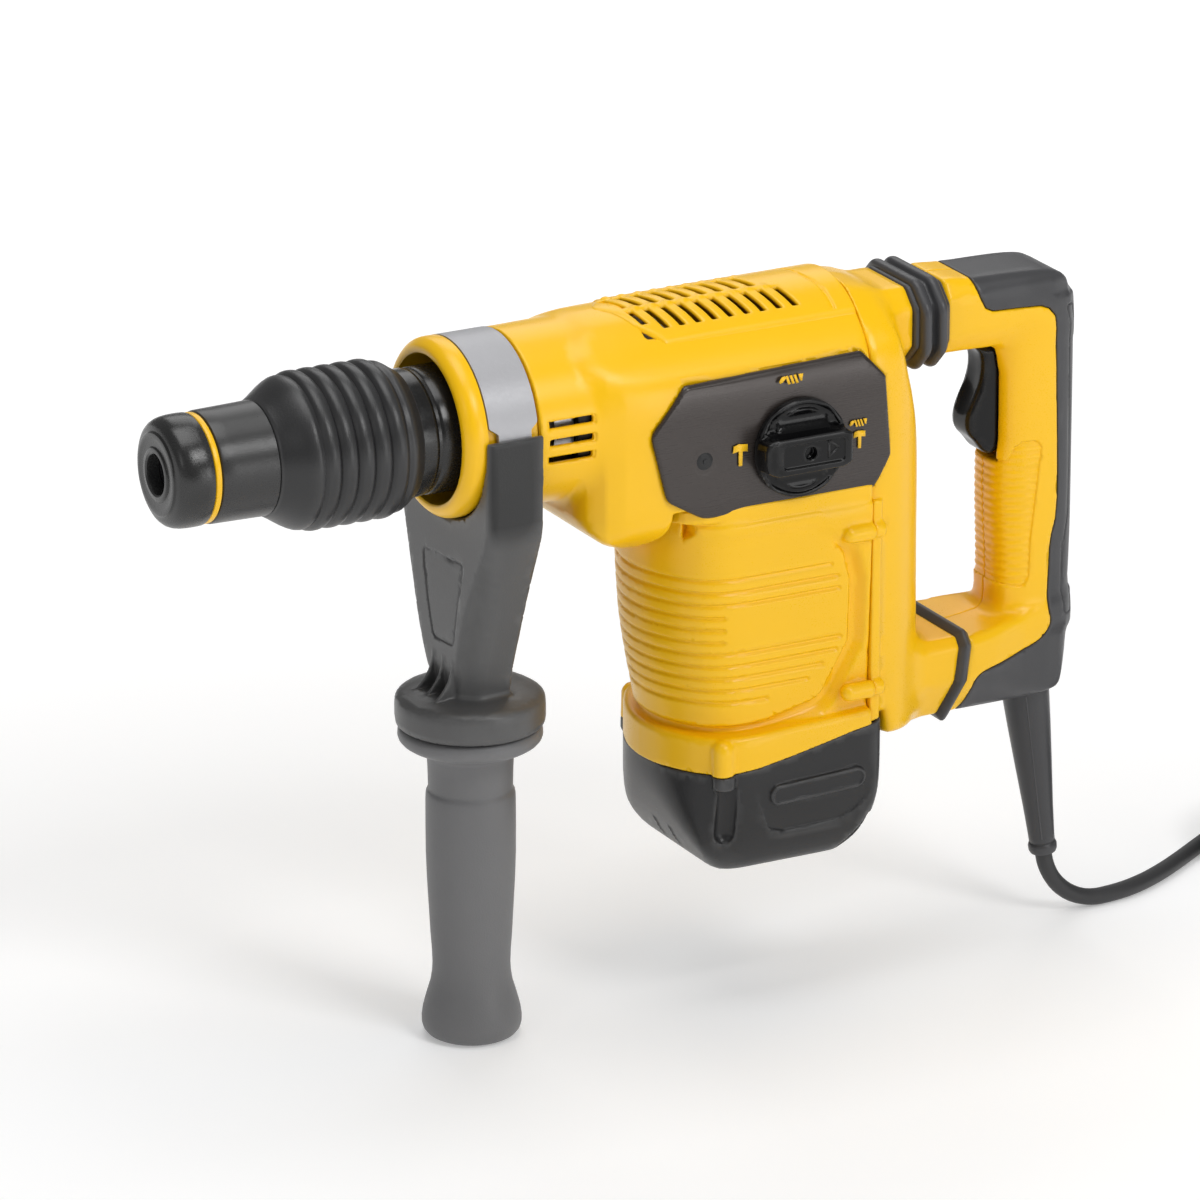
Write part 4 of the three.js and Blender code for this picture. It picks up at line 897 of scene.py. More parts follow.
def barrel():
    v = Vol((32.4, -48, -74.5), (SEAM_X + 0.4, 48, 45))
    v.add(lambda X, Y, Z: rmax(tube_d(X, Y, Z), np.maximum(32.75 - X, X - SEAM_X), 1.0))
    xz = poly(caseXZ)
    front = poly([(54.5, -200), (54.5, 60), (210, 60), (210, -200)])
    v.add(lambda X, Y, Z: rmax(case_d(X, Y, Z), xz(X, Z), 3.0), k=5.0, box=(45, 210, -60, 60, -80, 50))
    # rounded crease where the round cuff meets the flaring gear case
    v.clip(lambda X, Y, Z: X - SEAM_X, 0.8)
    v.cut(lambda X, Y, Z: np.maximum(Z + 45.0, 100.0 - X) + 0 * Y, 0.8)
    v.cut(lambda X, Y, Z: np.maximum(np.sqrt(Y * Y + Z * Z) - 38.6, np.maximum(35.5 - X, X - 210)))
    v.cut(lambda X, Y, Z: np.maximum(np.sqrt(Y * Y + Z * Z) - 34.2, X - 37))
    inner_xz = poly([(66, 34), (66, -47), (75, -57.4), (86, -63.2), (100.6, -68.6), (100.6, -60), (210, -60), (210, 40), (80, 40)])
    v.cut(lambda X, Y, Z: np.maximum(case_d(X, Y, Z) + 3.4, inner_xz(X, Z)))
    v.cut(bx(94, 186, -27.5, 27.5, 30, 60, 2.0))
    for z0, z1 in ((5.2, 8.4), (-3.2, 0.0), (-11.8, -8.6)):
        for s in (-1, 1):
            y0, y1 = sorted((s * 36, s * 60))
            v.cut(bx(37.6, 60, y0, y1, z0, z1, 0.6), 1.0, box=(30, 66, y0, y1, z0 - 4, z1 + 4))
            v.cut(lambda X, Y, Z, s=s, z0=z0, z1=z1: np.maximum(-(s * Y - 0) - 999, np.maximum(bx(36.6, 61, min(s * 30, s * 60), max(s * 30, s * 60), z0 - 0.7, z1 + 0.7, 0.9)(X, Y, Z), -(np.sqrt(Y * Y + Z * Z) - 41.35))), 0.4, box=(30, 66, y0, y1, z0 - 4, z1 + 4))
    v.cut(cyY(162.6, -20.4, 17, -60, -30))
    v.cut(cyY(113.7, -20.2, 2.6, -60, -30))
    # shallow bed under the mode plate
    v.cut(lambda X, Y, Z: np.maximum(np.maximum(PLATE_XZ(X, Z) - 0.35, Y + 38), -(wall_d(X, Y, Z) + 0.55)), 0.3, box=(80, 204, -60, -30, -52, 24))
    return v.mesh("barrel_shell", MAT["yellow"], 0.25)


plateXZ = rounded([(104.4, 16.4), (197.6, 19.0), (209, 6.2), (212.3, -32.6), (203.2, -48.2), (114.6, -49.2), (94.7, -37.3), (86.4, -4.4)], [4, 3, 3, 4, 3, 14, 8, 7], 5)
PLATE_XZ = poly(plateXZ)
o = barrel()
finish_piece(o, "root", ("barrel_housing",))


def vent():
    v = Vol((78, -33.5, 26), (205, 33.5, 47.5), min(H, 0.7))
    outer = radX([(76, 44.6), (86, 45.2), (94, 45.8), (140, 46.25), (206.5, 46.4)])
    planp = poly(rounded(plan_of([(80.5, -2.0), (86.0, -9.3), (91.2, -20.5), (102.4, -31.4), (203.4, -31.4)]), 1.6, 3))
    v.add(lambda X, Y, Z: rmax(outer(X, Y, Z), planp(X, Y) + 0 * Z, 2.6))
    v.clip(lambda X, Y, Z: X - (SEAM_X - 0.2), 0.8)
    v.clip(lambda X, Y, Z: 43.75 - np.sqrt(Y * Y + Z * Z) + 0 * X)
    v.clip(lambda X, Y, Z: -(_case_yz(Y, Z) - 0.25) + 0 * X)
    # curved step across the rear of the cover
    arc = smooth_line([(176, 30.5), (184.5, 14), (187.0, 3.0), (187.8, -4), (190.6, -14), (191.6, -24), (191.2, -34)], 6)
    A = np.array(arc)

    def arc_d(X, Y, Z):
        X2, Y2 = np.broadcast_arrays(X[:, :, 0], Y[:, :, 0])
        d = np.full(X2.shape, 1e9, F32)
        for i in range(len(A) - 1):
            a, b = A[i], A[i + 1]
            e = b - a
            t = np.clip(((X2 - a[0]) * e[0] + (Y2 - a[1]) * e[1]) / (e @ e), 0, 1)
            d = np.minimum(d, np.hypot(X2 - a[0] - e[0] * t, Y2 - a[1] - e[1] * t))
        return d[:, :, None].astype(F32)

    v.cut(lambda X, Y, Z: np.sqrt(arc_d(X, Y, Z) ** 2 + outer(X, Y, Z) ** 2) - 0.75, 0.6, box=(170, 196, -29, 29, 30, 50))
    # slanted slots in three rows, bridged at y = -9 and +9
    for i in range(-1, 9):
        for ya, yb in ((-24.4, -10.6), (-7.2, 7.2), (10.6, 24.4)):
            if i == -1 and ya < -20:
                ya = -20.8
            if i == 8 and ya > -20:
                continue
            f = lambda y: 106.5 + 8.42 * i - 0.30 * (y + 24)
            pts = [(f(ya) - 1.75, ya), (f(ya) + 1.75, ya), (f(yb) + 1.75, yb), (f(yb) - 1.75, yb)]
            g = poly(pts)
            b = (f(yb) - 8, f(ya) + 8, ya - 4, yb + 4, 20, 50)
            v.cut(lambda X, Y, Z, g=g: (g(X, Y) + 0.3) + 0 * Z, 1.3, box=b)
        # nubs on the ribs
        for yn in (-9, 9):
            if i < 8:
                xc = 106.5 + 8.42 * i - 0.30 * (yn + 24) + 4.21
                zc = math.sqrt(46 ** 2 - yn * yn)
                v.add(lambda X, Y, Z, xc=xc, yn=yn, zc=zc: (np.sqrt(((X - xc) / 1.35) ** 2 + (Y - yn) ** 2 + ((Z - zc + 0.2) / 0.7) ** 2) - 1.5) * 0.8, 1.4, box=(xc - 5, xc + 5, yn - 4, yn + 4, 38, 50))
    return v.mesh("vent_cover_shell", MAT["yellow"], 0.1)


o = vent()
finish_piece(o, "root", ("vent_cover",))


def plate():
    v = Vol((84, -53, -52), (214, -38, 22), min(H, 0.55))
    v.add(lambda X, Y, Z: rmax(wall_d(X, Y, Z) - 2.2, PLATE_XZ(X, Z) + 0 * Y, 1.6))
    v.clip(lambda X, Y, Z: -(wall_d(X, Y, Z) - 0.1))
    v.clip(lambda X, Y, Z: Y + 38.5)
    v.cut(cyY(162.9, -20.6, 19, -60, -30))
    # recess for the knob: 26 mm radius, with a ring step
    v.cut(cyY(162.9, -20.6, 26.2, -60, -48.15), 0.4)
    v.cut(cyY(113.7, -20.2, 6.1, -60, -48.0), 0.5)
    v.cut(cyY(113.7, -20.2, 2.6, -60, -30))
    for x0, x1, z0, z1 in ((148.6, 167.2, 0, 17.2), (124.6, 140, -28.4, -10.8), (186, 199.9, -28.2, -11.6)):
        pts = rounded([(x0, z0), (x0, z1), (x1, z1), (x1, z0)], 1.6, 3)
        g = poly(pts)
        v.cut(lambda X, Y, Z, g=g: np.maximum(np.maximum(g(X, Z) + 0 * Y, -(np.sqrt((X - 162.9) ** 2 + (Z + 20.6) ** 2) - 26.2)), Y + 48.75), 0.15)
    return v.mesh("mode_plate_face", MAT["plate"], 0.1)


o = plate()
finish_piece(o, "root", ("mode_plate",))


def flat_icon(name, shapes, y, depth, mat):
    V, Tn, Q = [], [], []
    for pts in shapes:
        n, b = len(pts), len(V)
        c = np.mean(np.array(pts), 0)
        V += [(x, y, z_) for x, z_ in pts] + [(x, y + depth, z_) for x, z_ in pts]
        import mathutils.geometry as mg
        tess = mg.tessellate_polygon([[Vector((x, z_, 0)) for x, z_ in pts]])
        for t in tess:
            Tn.append([b + i for i in t]); Tn.append([b + n + i for i in t[::-1]])
        for i in range(n):
            j = (i + 1) % n
            Q.append((b + i, b + j, b + n + j, b + n + i))
    o = new_object(name, V, (np.array(Tn), np.array(Q)), mat, smooth=False)
    import bmesh
    bm = bmesh.new(); bm.from_mesh(o.data); bmesh.ops.recalc_face_normals(bm, faces=bm.faces); bm.to_mesh(o.data); bm.free()
    return o


def drill_icon(x0, x1, z0, z1):
    w, h_ = x1 - x0, z1 - z0
    P = lambda u, t: (x0 + u * w, z0 + t * h_)
    out = [[P(0, 0.45), P(0.1, 0.9), P(0.22, 1.0), P(0.3, 0.78), P(0.14, 0.32), P(0.04, 0.22)]]
    for i in range(3):
        a = 0.26 + i * 0.17
        out.append([P(a, 0.98), P(a + 0.1, 1.0), P(a + 0.22, 0.04), P(a + 0.12, 0.0)])
    out.append([P(0.80, 1.0), P(1.0, 1.0), P(0.96, 0.2), P(0.9, 0.2)])
    return out


def hammer_icon(x0, x1, z0, z1):
    w, h_ = x1 - x0, z1 - z0
    P = lambda u, t: (x0 + u * w, z0 + t * h_)
    return [[P(0, 0.62), P(0.06, 0.92), P(0.4, 1.0), P(1.0, 0.94), P(1.0, 0.62), P(0.66, 0.66), P(0.64, 0.0), P(0.4, 0.0), P(0.4, 0.68)]]


icons = drill_icon(151.8, 164.3, 10.4, 14.6) + hammer_icon(127.8, 135.5, -25.0, -14.4) + drill_icon(189, 198.2, -15.8, -12.4) + hammer_icon(191.2, 197.4, -26.4, -17.8)
o = flat_icon("mode_symbols", icons, -48.98, 0.35, MAT["icon"])
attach(o, "root")
dots = []
o = revolve("plate_screw_head", [(-48.6, 0), (-48.6, 1.0), (-48.2, 1.2), (-48.2, 3.6), (-47.7, 4.4), (-46.8, 4.6), (-40, 4.6), (-40, 2.3), (-38, 0)], MAT["black"], axis="y", centre=(113.7, -20.2), n=48)
finish_piece(o, "root", ("plate_screw",))

KX, KZ = 162.6, -20.4


def knob():
    v = Vol((KX - 24.6, -62.4, KZ - 24.6), (KX + 24.6, -42, KZ + 24.6), 0.42)
    rr = lambda X, Z: np.sqrt((X - KX) ** 2 + (Z - KZ) ** 2)
    v.add(lambda X, Y, Z: edge(rr(X, Z) + 0 * Y - 23.6, np.abs(Y + 50.2) - 2.2, 0.9))
    v.add(lambda X, Y, Z: np.maximum(rr(X, Z) - 16.4, np.abs(Y + 46.5) - 4.5))
    # sunk face inside a raised rim
    v.cut(lambda X, Y, Z: edge(rr(X, Z) + 0 * Y - 21.4, Y + 51.3, 0), 0.6)
    # stepped crescent ledges above and below the bar
    for s in (1, -1):
        v.add(lambda X, Y, Z, s=s: np.maximum(np.maximum(np.maximum(rr(X, Z) - 19.2, 8.0 - s * (Z - KZ)), np.abs(X - KX) - 13.6), np.abs(Y + 51.6) - 1.2 - 0 * X), 0.6)
        v.add(lambda X, Y, Z, s=s: np.maximum(np.maximum(rr(X, Z) - 16.6, 9.0 - s * (Z - KZ)), np.abs(Y + 52.4) - 1.6), 0.6)
    # grip bar
    bar = rounded([(KX - 24.2, KZ - 5.6), (KX - 25.0, KZ + 6.0), (KX - 17.4, KZ + 9.6), (KX + 16.6, KZ + 9.4), (KX + 21.8, KZ + 7.2), (KX + 21.8, KZ - 7.2), (KX + 16.6, KZ - 9.4), (KX - 17.4, KZ - 9.6)], 2.4, 4)
    bp = poly(bar)
    v.add(lambda X, Y, Z: edge(np.maximum(bp(X, Z), rr(X, Z) - 23.4) + 0 * Y, np.abs(Y + 55.6) - 6.0, 1.6), 1.4)
    # concave finger faces along both sides of the bar
    for s in (1, -1):
        v.cut(lambda X, Y, Z, s=s: np.sqrt(((Y + 58.2) / 1.0) ** 2 + (Z - KZ - s * 15.2) ** 2) + 0 * X - 6.8, 1.0)
    # shallow dish in the top with a pointer
    dish = poly(rounded([(KX - 15, KZ - 5.4), (KX - 15, KZ + 5.4), (KX + 17.2, KZ + 5.4), (KX + 17.2, KZ - 5.4)], 2.0, 4))
    v.cut(lambda X, Y, Z: edge(dish(X, Z) + 0 * Y, Y + 60.95, 0), 0.5)
    v.cut(cyY(KX - 0.4, KZ + 0.2, 3.1, -70, -57.6), 0.4)
    return v.mesh("mode_knob_body", MAT["gloss"], 0.1)


o = knob()
finish_piece(o, "mode_selector", ("mode_knob",))
tri = [(171.0, -14.6), (177.4, -19.2), (171.0, -23.8)]
tin = [(172.0, -16.6), (175.7, -19.2), (172.0, -21.8)]
frame_tri = [[tri[0], tri[1], tin[1], tin[0]], [tri[1], tri[2], tin[2], tin[1]], [tri[2], tri[0], tin[0], tin[2]]]
o = flat_icon("knob_pointer", frame_tri, -61.25, 0.45, MAT["bracket"])
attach(o, "mode_selector")


# ------------------------------------------------------------------ motor housing
def plan_section(X, Y, Z, c_of, w_of, outline, z_lo, z_hi):
    """Stack of plan outlines: x shifted by c(z), half-width scaled to w(z); outline is relative, half-width 47."""
    g = poly(plan_of(outline))
    xs, ys, zs = X.reshape(-1), Y.reshape(-1), Z.reshape(-1)
    out = np.empty((xs.size, ys.size, zs.size), F32)
    last = None
    for k, zz in enumerate(zs):
        zc = min(max(float(zz), z_lo), z_hi)
        c, w = c_of(zc), w_of(zc)
        key = (round(c, 4), round(w, 4))
        if last is None or last[0] != key:
            s = 47.0 / w
            last = (key, g((xs - F32(c)).reshape(-1, 1), (ys * F32(s)).reshape(1, -1)))
        out[:, :, k] = last[1]
    return out


OUTL = smooth_line([(0, 0), (0.5, -7), (1.9, -14), (4.3, -21), (7.6, -28), (11.6, -34.4), (16.6, -40.0), (22.4, -43.8), (29, -46.0), (38, -47)], 3) + [(150, -47)]
cz = lambda z_: float(np.interp(z_, [-158, -152, -138, -124, -112, -92, -76, -45], [108.6, 107.8, 105.0, 102.6, 101.0, 99.8, 99.4, 99.0]))
wz = lambda z_: float(np.interp(z_, [-158, -150, -125, -90, -60, -45], [42.6, 42.9, 44.2, 45.7, 46.8, 47.0]))
RING = smooth_line([(0, 0), (0.5, -7), (1.9, -14), (4.3, -21), (7.6, -28), (11.4, -34.4), (16.0, -40.0), (21.6, -43.8), (28, -46.0), (38, -47)], 3) + [(160, -47)]
seam_line = [(90, -178.6), (104, -177.9), (118, -176.9), (130, -176.2), (142, -174.9), (160, -171.8), (178, -168.2), (192, -165.2), (SEAM_X, -163.6), (215, -161.6)]
seam_poly = poly([(80, -178.8)] + seam_line + [(230, -161.2), (230, 60), (80, 60)])
panel_in = poly(rounded([(40, -61.6), (116, -61.8), (134, -62.7), (173, -62.9), (187.8, -76.8), (191.8, -92), (191.9, -121), (177.4, -147.3), (148.5, -154.0), (119, -155.4), (40, -155.4)], [0, 0, 8, 10, 10, 10, 8, 10, 12, 0, 0], 4))
base_in = [(105.0, -40), (105.0, -76), (112.6, -152), (108, -162), (108, -200), (210, -200), (210, -40)]


def motor_body(X, Y, Z):
    return plan_section(X, Y, Z, cz, wz, OUTL, -158, -45)


def motor():
    v = Vol((97, -53, -180), (SEAM_X + 0.4, 53, -44.5), min(H, 0.66))
    sl, X, Y, Z = v.win(None)
    body = motor_body(X, Y, Z)
    pin = panel_in(X, Z)
    gate = np.clip((np.abs(Y) - 30) / 9, 0, 1)
    step = lambda t: np.clip(t, 0, 1) ** 2 * (3 - 2 * np.clip(t, 0, 1))
    low = step((-66.0 - Z) / 16.0)  # 0 along the upper border, 1 along the right and lower borders
    # upper border: a bevel up to the proud frame; elsewhere a sharp edge, a gutter and a soft rise back to the frame
    hi_f = -1.5 * step((pin - 0.3) / 5.0) * step((-52.5 - Z) / 3.0)
    lo_f = 3.2 * step((pin + 0.2) / 1.6) - 4.6 * step((pin - 4.0) / 5.5)
    field = hi_f * (1 - low) * gate + lo_f * low * np.maximum(gate, step((-148 - Z) / 4))
    v.d[sl] = np.minimum(body + field, 30)
    # grooves round the front and sides, shorter where the side has a plain field
    ends = [181, 184.6, 185.4, 126, 126, 126, 187.0, 185.0, 178.0, 170, 149]
    for i in range(11):
        zg = -82.0 - 6.16 * i
        b = (90, 205, -60, 60, zg - 3, zg + 3)
        sl2, X2, Y2, Z2 = v.win(b)
        bd = body[sl2]
        e = ends[i]
        tt = np.maximum(X2 - e, 0)
        g = np.sqrt((bd - 0.15) ** 2 + (1.15 * (Z2 - zg) + 0.35 * (bd - 0.15)) ** 2 + tt * tt * 0.3) - 1.25
        v.d[sl2] = rmax(v.d[sl2], -g, 0.3)
    # base ring carrying the end cap
    ring = lambda X, Y, Z: plan_section(X, Y, Z, lambda z_: 105.4, lambda z_: float(np.interp(z_, [-180, -166, -158], [49.7, 49.5, 48.8])), RING, -180, -158)
    v.add(lambda X, Y, Z: edge(ring(X, Y, Z), Z + 160.4 - 0.045 * (X - 104), 2.6), k=2.2, box=(95, 210, -60, 60, -182, -140))
    # shoulder that closes the underside of the barrel
    sh = poly(plan_of([(99.5, 0), (99.65, -12), (100.5, -26.5), (101.9, -32.6), (104.7, -38.4), (107.1, -41.4), (110.1, -43.6), (115.1, -45.6), (123.5, -46.7), (133.5, -47), (220, -47)]))
    v.add(lambda X, Y, Z: edge(sh(X, Y) + 0 * Z, -52.2 - Z, 1.6), k=3.5, box=(97, 206, -53, 53, -60, -44))
    # bosses and their flats
    for s in (-1, 1):
        for zb in (-68.2, -146):
            v.add(capsule((190.4, s * 48.0, zb), (206, s * 48.0, zb), 4.2), k=1.0, box=(180, 206, min(s * 38, s * 56), max(s * 38, s * 56), zb - 9, zb + 9))
        v.add(capsule((126.0, s * 44.0, -165.0), (126.0, s * 45.0, -190), 5.5), k=0.8, box=(114, 136, min(s * 38, s * 56), max(s * 38, s * 56), -182, -154))
    # latch pocket under the front corner of the plate
    for s in (-1, 1):
        pk = poly(rounded([(90, -54.2), (113.9, -54.2), (114.0, -58.8), (108.3, -64.4), (99, -64.0), (90, -60.0)], [0, 0.8, 3, 4, 1, 0], 4))
        v.cut(lambda X, Y, Z, s=s, pk=pk: np.maximum(pk(X, Z) + 0 * Y, 0.62 * (40.2 - s * Y) - 0.78 * (X - 104.5)), 0.7, box=(88, 118, min(s * 28, s * 60), max(s * 28, s * 60), -70, -48))
    # parting surfaces
    v.clip(lambda X, Y, Z: X - SEAM_X + 0.0, 0.9)
    v.clip(lambda X, Y, Z: Z + 45.35, 0.7)
    v.clip(lambda X, Y, Z: seam_poly(X, Z) + 0 * Y, 0.5)
    # hollow
    bi = poly(base_in)
    v.cut(lambda X, Y, Z: rmax(plan_section(X, Y, Z, lambda z_: cz(z_) + 6.0, lambda z_: wz(z_) - 7.2 if z_ > -163.5 else 42.5, OUTL, -158, -45), np.maximum(-44 - Z - 400, X - 400), 1.0))
    v.cut(lambda X, Y, Z: np.maximum(plan_section(X, Y, Z, lambda z_: 107.6, lambda z_: 45.0, RING, -180, -158), Z + 164.5))
    for s in (-1, 1):
        for zb in (-68.2, -146):
            v.cut(cyX(s * 47.4, zb, 1.9, 190, 210))
    return v.mesh("motor_housing_shell", MAT["yellow"], 0.15)


o = motor()
finish_piece(o, "root", ("motor_housing",))


# ------------------------------------------------------------------ end cap
def end_cap():
    v = Vol((101, -52, -233), (213.5, 53, -158), min(H, 0.66))
    capXZ = smooth_line([(105.3, -170), (106.0, -179), (108.0, -189), (111.6, -200), (116.0, -210.4), (121.4, -220.0), (126.6, -227.2), (132.4, -231.2), (139, -232.6)], 4) + smooth_line([(186, -232.6), (192.6, -230.8), (198.6, -225.8), (203.6, -219.0), (207.8, -209.6), (210.4, -199), (211.6, -187), (211.8, -162)], 4)
    capYZ = smooth_line([(-49.7, -150), (-49.7, -176), (-49.4, -187), (-48.4, -198), (-46.0, -208.6), (-43.0, -218.0), (-39.4, -225.4), (-35.0, -230.6), (-28, -232.6)], 4)
    gxz, gyz = poly(capXZ + [(211.8, -140), (103.6, -140)]), poly(capYZ + [(-a, b) for a, b in reversed(capYZ)])
    capPlan = poly(plan_of([(105.4 + a, b * 49.7 / 47) for a, b in RING[:-1]] + [(199, -49.7), (206.4, -48.6), (210.4, -46), (211.8, -41)]))
    v.add(lambda X, Y, Z: rmax(rmax(gxz(X, Z) + 0 * Y, gyz(Y, Z) + 0 * X, 9.0), capPlan(X, Y) + 0 * Z, 5.0))
    front_crease = plane((-0.72, -0.60, -0.36), (113.6, -36.0, -205))
    for s in (-1, 1):
        y0, y1 = sorted((s * 30, s * 60))
        # recessed side panel with a raised capsule
        pp = poly(rounded([(138, -150), (141.2, -180), (143.6, -192), (149.2, -206.8), (158, -209.6), (186.7, -208.6), (194.6, -205.4), (201.5, -197.6), (206.4, -180), (208, -150)], [0, 6, 8, 7, 4, 6, 6, 8, 8, 0], 4))
        surf = lambda X, Y, Z: gyz(Y, Z) + 0 * X
        v.cut(lambda X, Y, Z, pp=pp, surf=surf: np.maximum(pp(X, Z) * 0.75 + 0 * Y, -(surf(X, Y, Z) + 1.1)), 1.2, box=(132, 212, y0, y1, -214, -150))
        cps = lambda X, Z: (lambda t: np.sqrt((X - 154.0 - 40.4 * t) ** 2 + (Z + 190.2 - 1.6 * t) ** 2))(np.clip(((X - 154.0) * 40.4 + (Z + 190.2) * 1.6) / (40.4 ** 2 + 1.6 ** 2), 0, 1))
        v.add(lambda X, Y, Z, surf=surf: rmax(cps(X, Z) + 0 * Y - 5.2, surf(X, Y, Z) - 0.5, 1.6), k=0.7, box=(144, 206, y0, y1, -202, -178))
        v.cut(lambda X, Y, Z, surf=surf: np.maximum(cps(X, Z) + 0 * Y - 3.4, -(surf(X, Y, Z) + 0.1)), 0.6, box=(144, 206, y0, y1, -202, -178))
        # boss and trough at the front corner
        v.add(capsule((126.0, s * 44.6, -170), (126.0, s * 44.9, -181.6), 5.4), k=0.6, box=(114, 137, y0, y1, -190, -165))
        v.cut(lambda X, Y, Z, s=s: np.maximum(capsule((126.0, s * 50.4, -180), (126.0, s * 46.6, -206.6), 6.6, 5.8)(X, Y, Z), Z + 183.2), 0.5, box=(114, 138, y0, y1, -216, -176))
        # fine ridges low on the front slope
        for yy in (7.5, 16.5, 25.5):
            pth = smooth_line([(117.2, 0, -212.8), (121.5, 0, -220.2), (127.2, 0, -226.7), (133.0, 0, -230.2)], 3)
            for a, b in zip(pth[:-1], pth[1:]):
                v.add(capsule((a[0] + 0.004 * yy * yy, s * yy, a[2] + 0.1), (b[0] + 0.002 * yy * yy, s * yy, b[2] + 0.1), 0.6), k=0.5, box=(108, 134, s * yy - 3, s * yy + 3, -233, -208))
        # lifting notch at the rear lower corner
        v.cut(capsule((204.0, s * 41.5, -211.5), (193.5, s * 37.5, -226.0), 2.7), 0.8, box=(186, 212, y0 if s > 0 else -60, y1 if s > 0 else -30, -232, -204))
    for i in range(6):
        v.cut(bx(150 + i * 7, 153 + i * 7, -22, 22, -240, -224, 1.0), 0.5, box=(146, 192, -26, 26, -233, -222))
    # upper edge follows the parting line, with the step that takes the ring
    cap_top = poly([(80, -178.95)] + [(x, z_ - 0.35) for x, z_ in seam_line] + [(230, -161.5), (230, 60), (80, 60)])
    v.cut(lambda X, Y, Z: cap_top(X, Z) + 0 * Y, 0.5)
    # hollow
    gi = poly([(110, -140), (110.6, -180), (114.4, -196), (119.4, -208), (126, -219), (134, -226.4), (186, -226.4), (196, -220.4), (203.4, -208), (207.0, -190), (207.4, -140)])
    gj = poly([(-45.4, -140), (-45.2, -184), (-43.6, -198), (-40, -210), (-34, -220.6), (-26, -226.4), (26, -226.4), (34, -220.6), (40, -210), (43.6, -198), (45.2, -184), (45.4, -140)])
    capIn = poly(plan_of([(110 + a, b * 45.2 / 47) for a, b in RING[:-1]] + [(199, -45.2), (207.4, -42)]))
    v.cut(lambda X, Y, Z: rmax(rmax(gi(X, Z) + 0 * Y, gj(Y, Z) + 0 * X, 5.0), capIn(X, Y) + 0 * Z, 3.0))
    return v.mesh("motor_end_cap_shell", MAT["cap"], 0.15)


o = end_cap()
finish_piece(o, "root", ("motor_end_cap",))


# ------------------------------------------------------------------ rear housing
oct_pts = lambda w, z0, z1, c: [(-w, z1 - c), (-w + c, z1), (w - c, z1), (w, z1 - c), (w, z0 + c), (w - c, z0), (-w + c, z0), (-w, z0 + c)]
neckYZ = rounded([(-26, 28.0), (-17.6, 36.8), (17.6, 36.8), (26, 28.0), (26, 9.6), (17.4, 1), (-17.4, 1), (-26, 9.6)], 5, 5)
stubYZ = rounded([(-28, -136.4), (-32.5, -140.5), (-32.5, -157), (-20, -177.6), (20, -177.6), (32.5, -157), (32.5, -140.5), (28, -136.4)], [3, 3, 4, 5, 5, 4, 3, 3], 4)


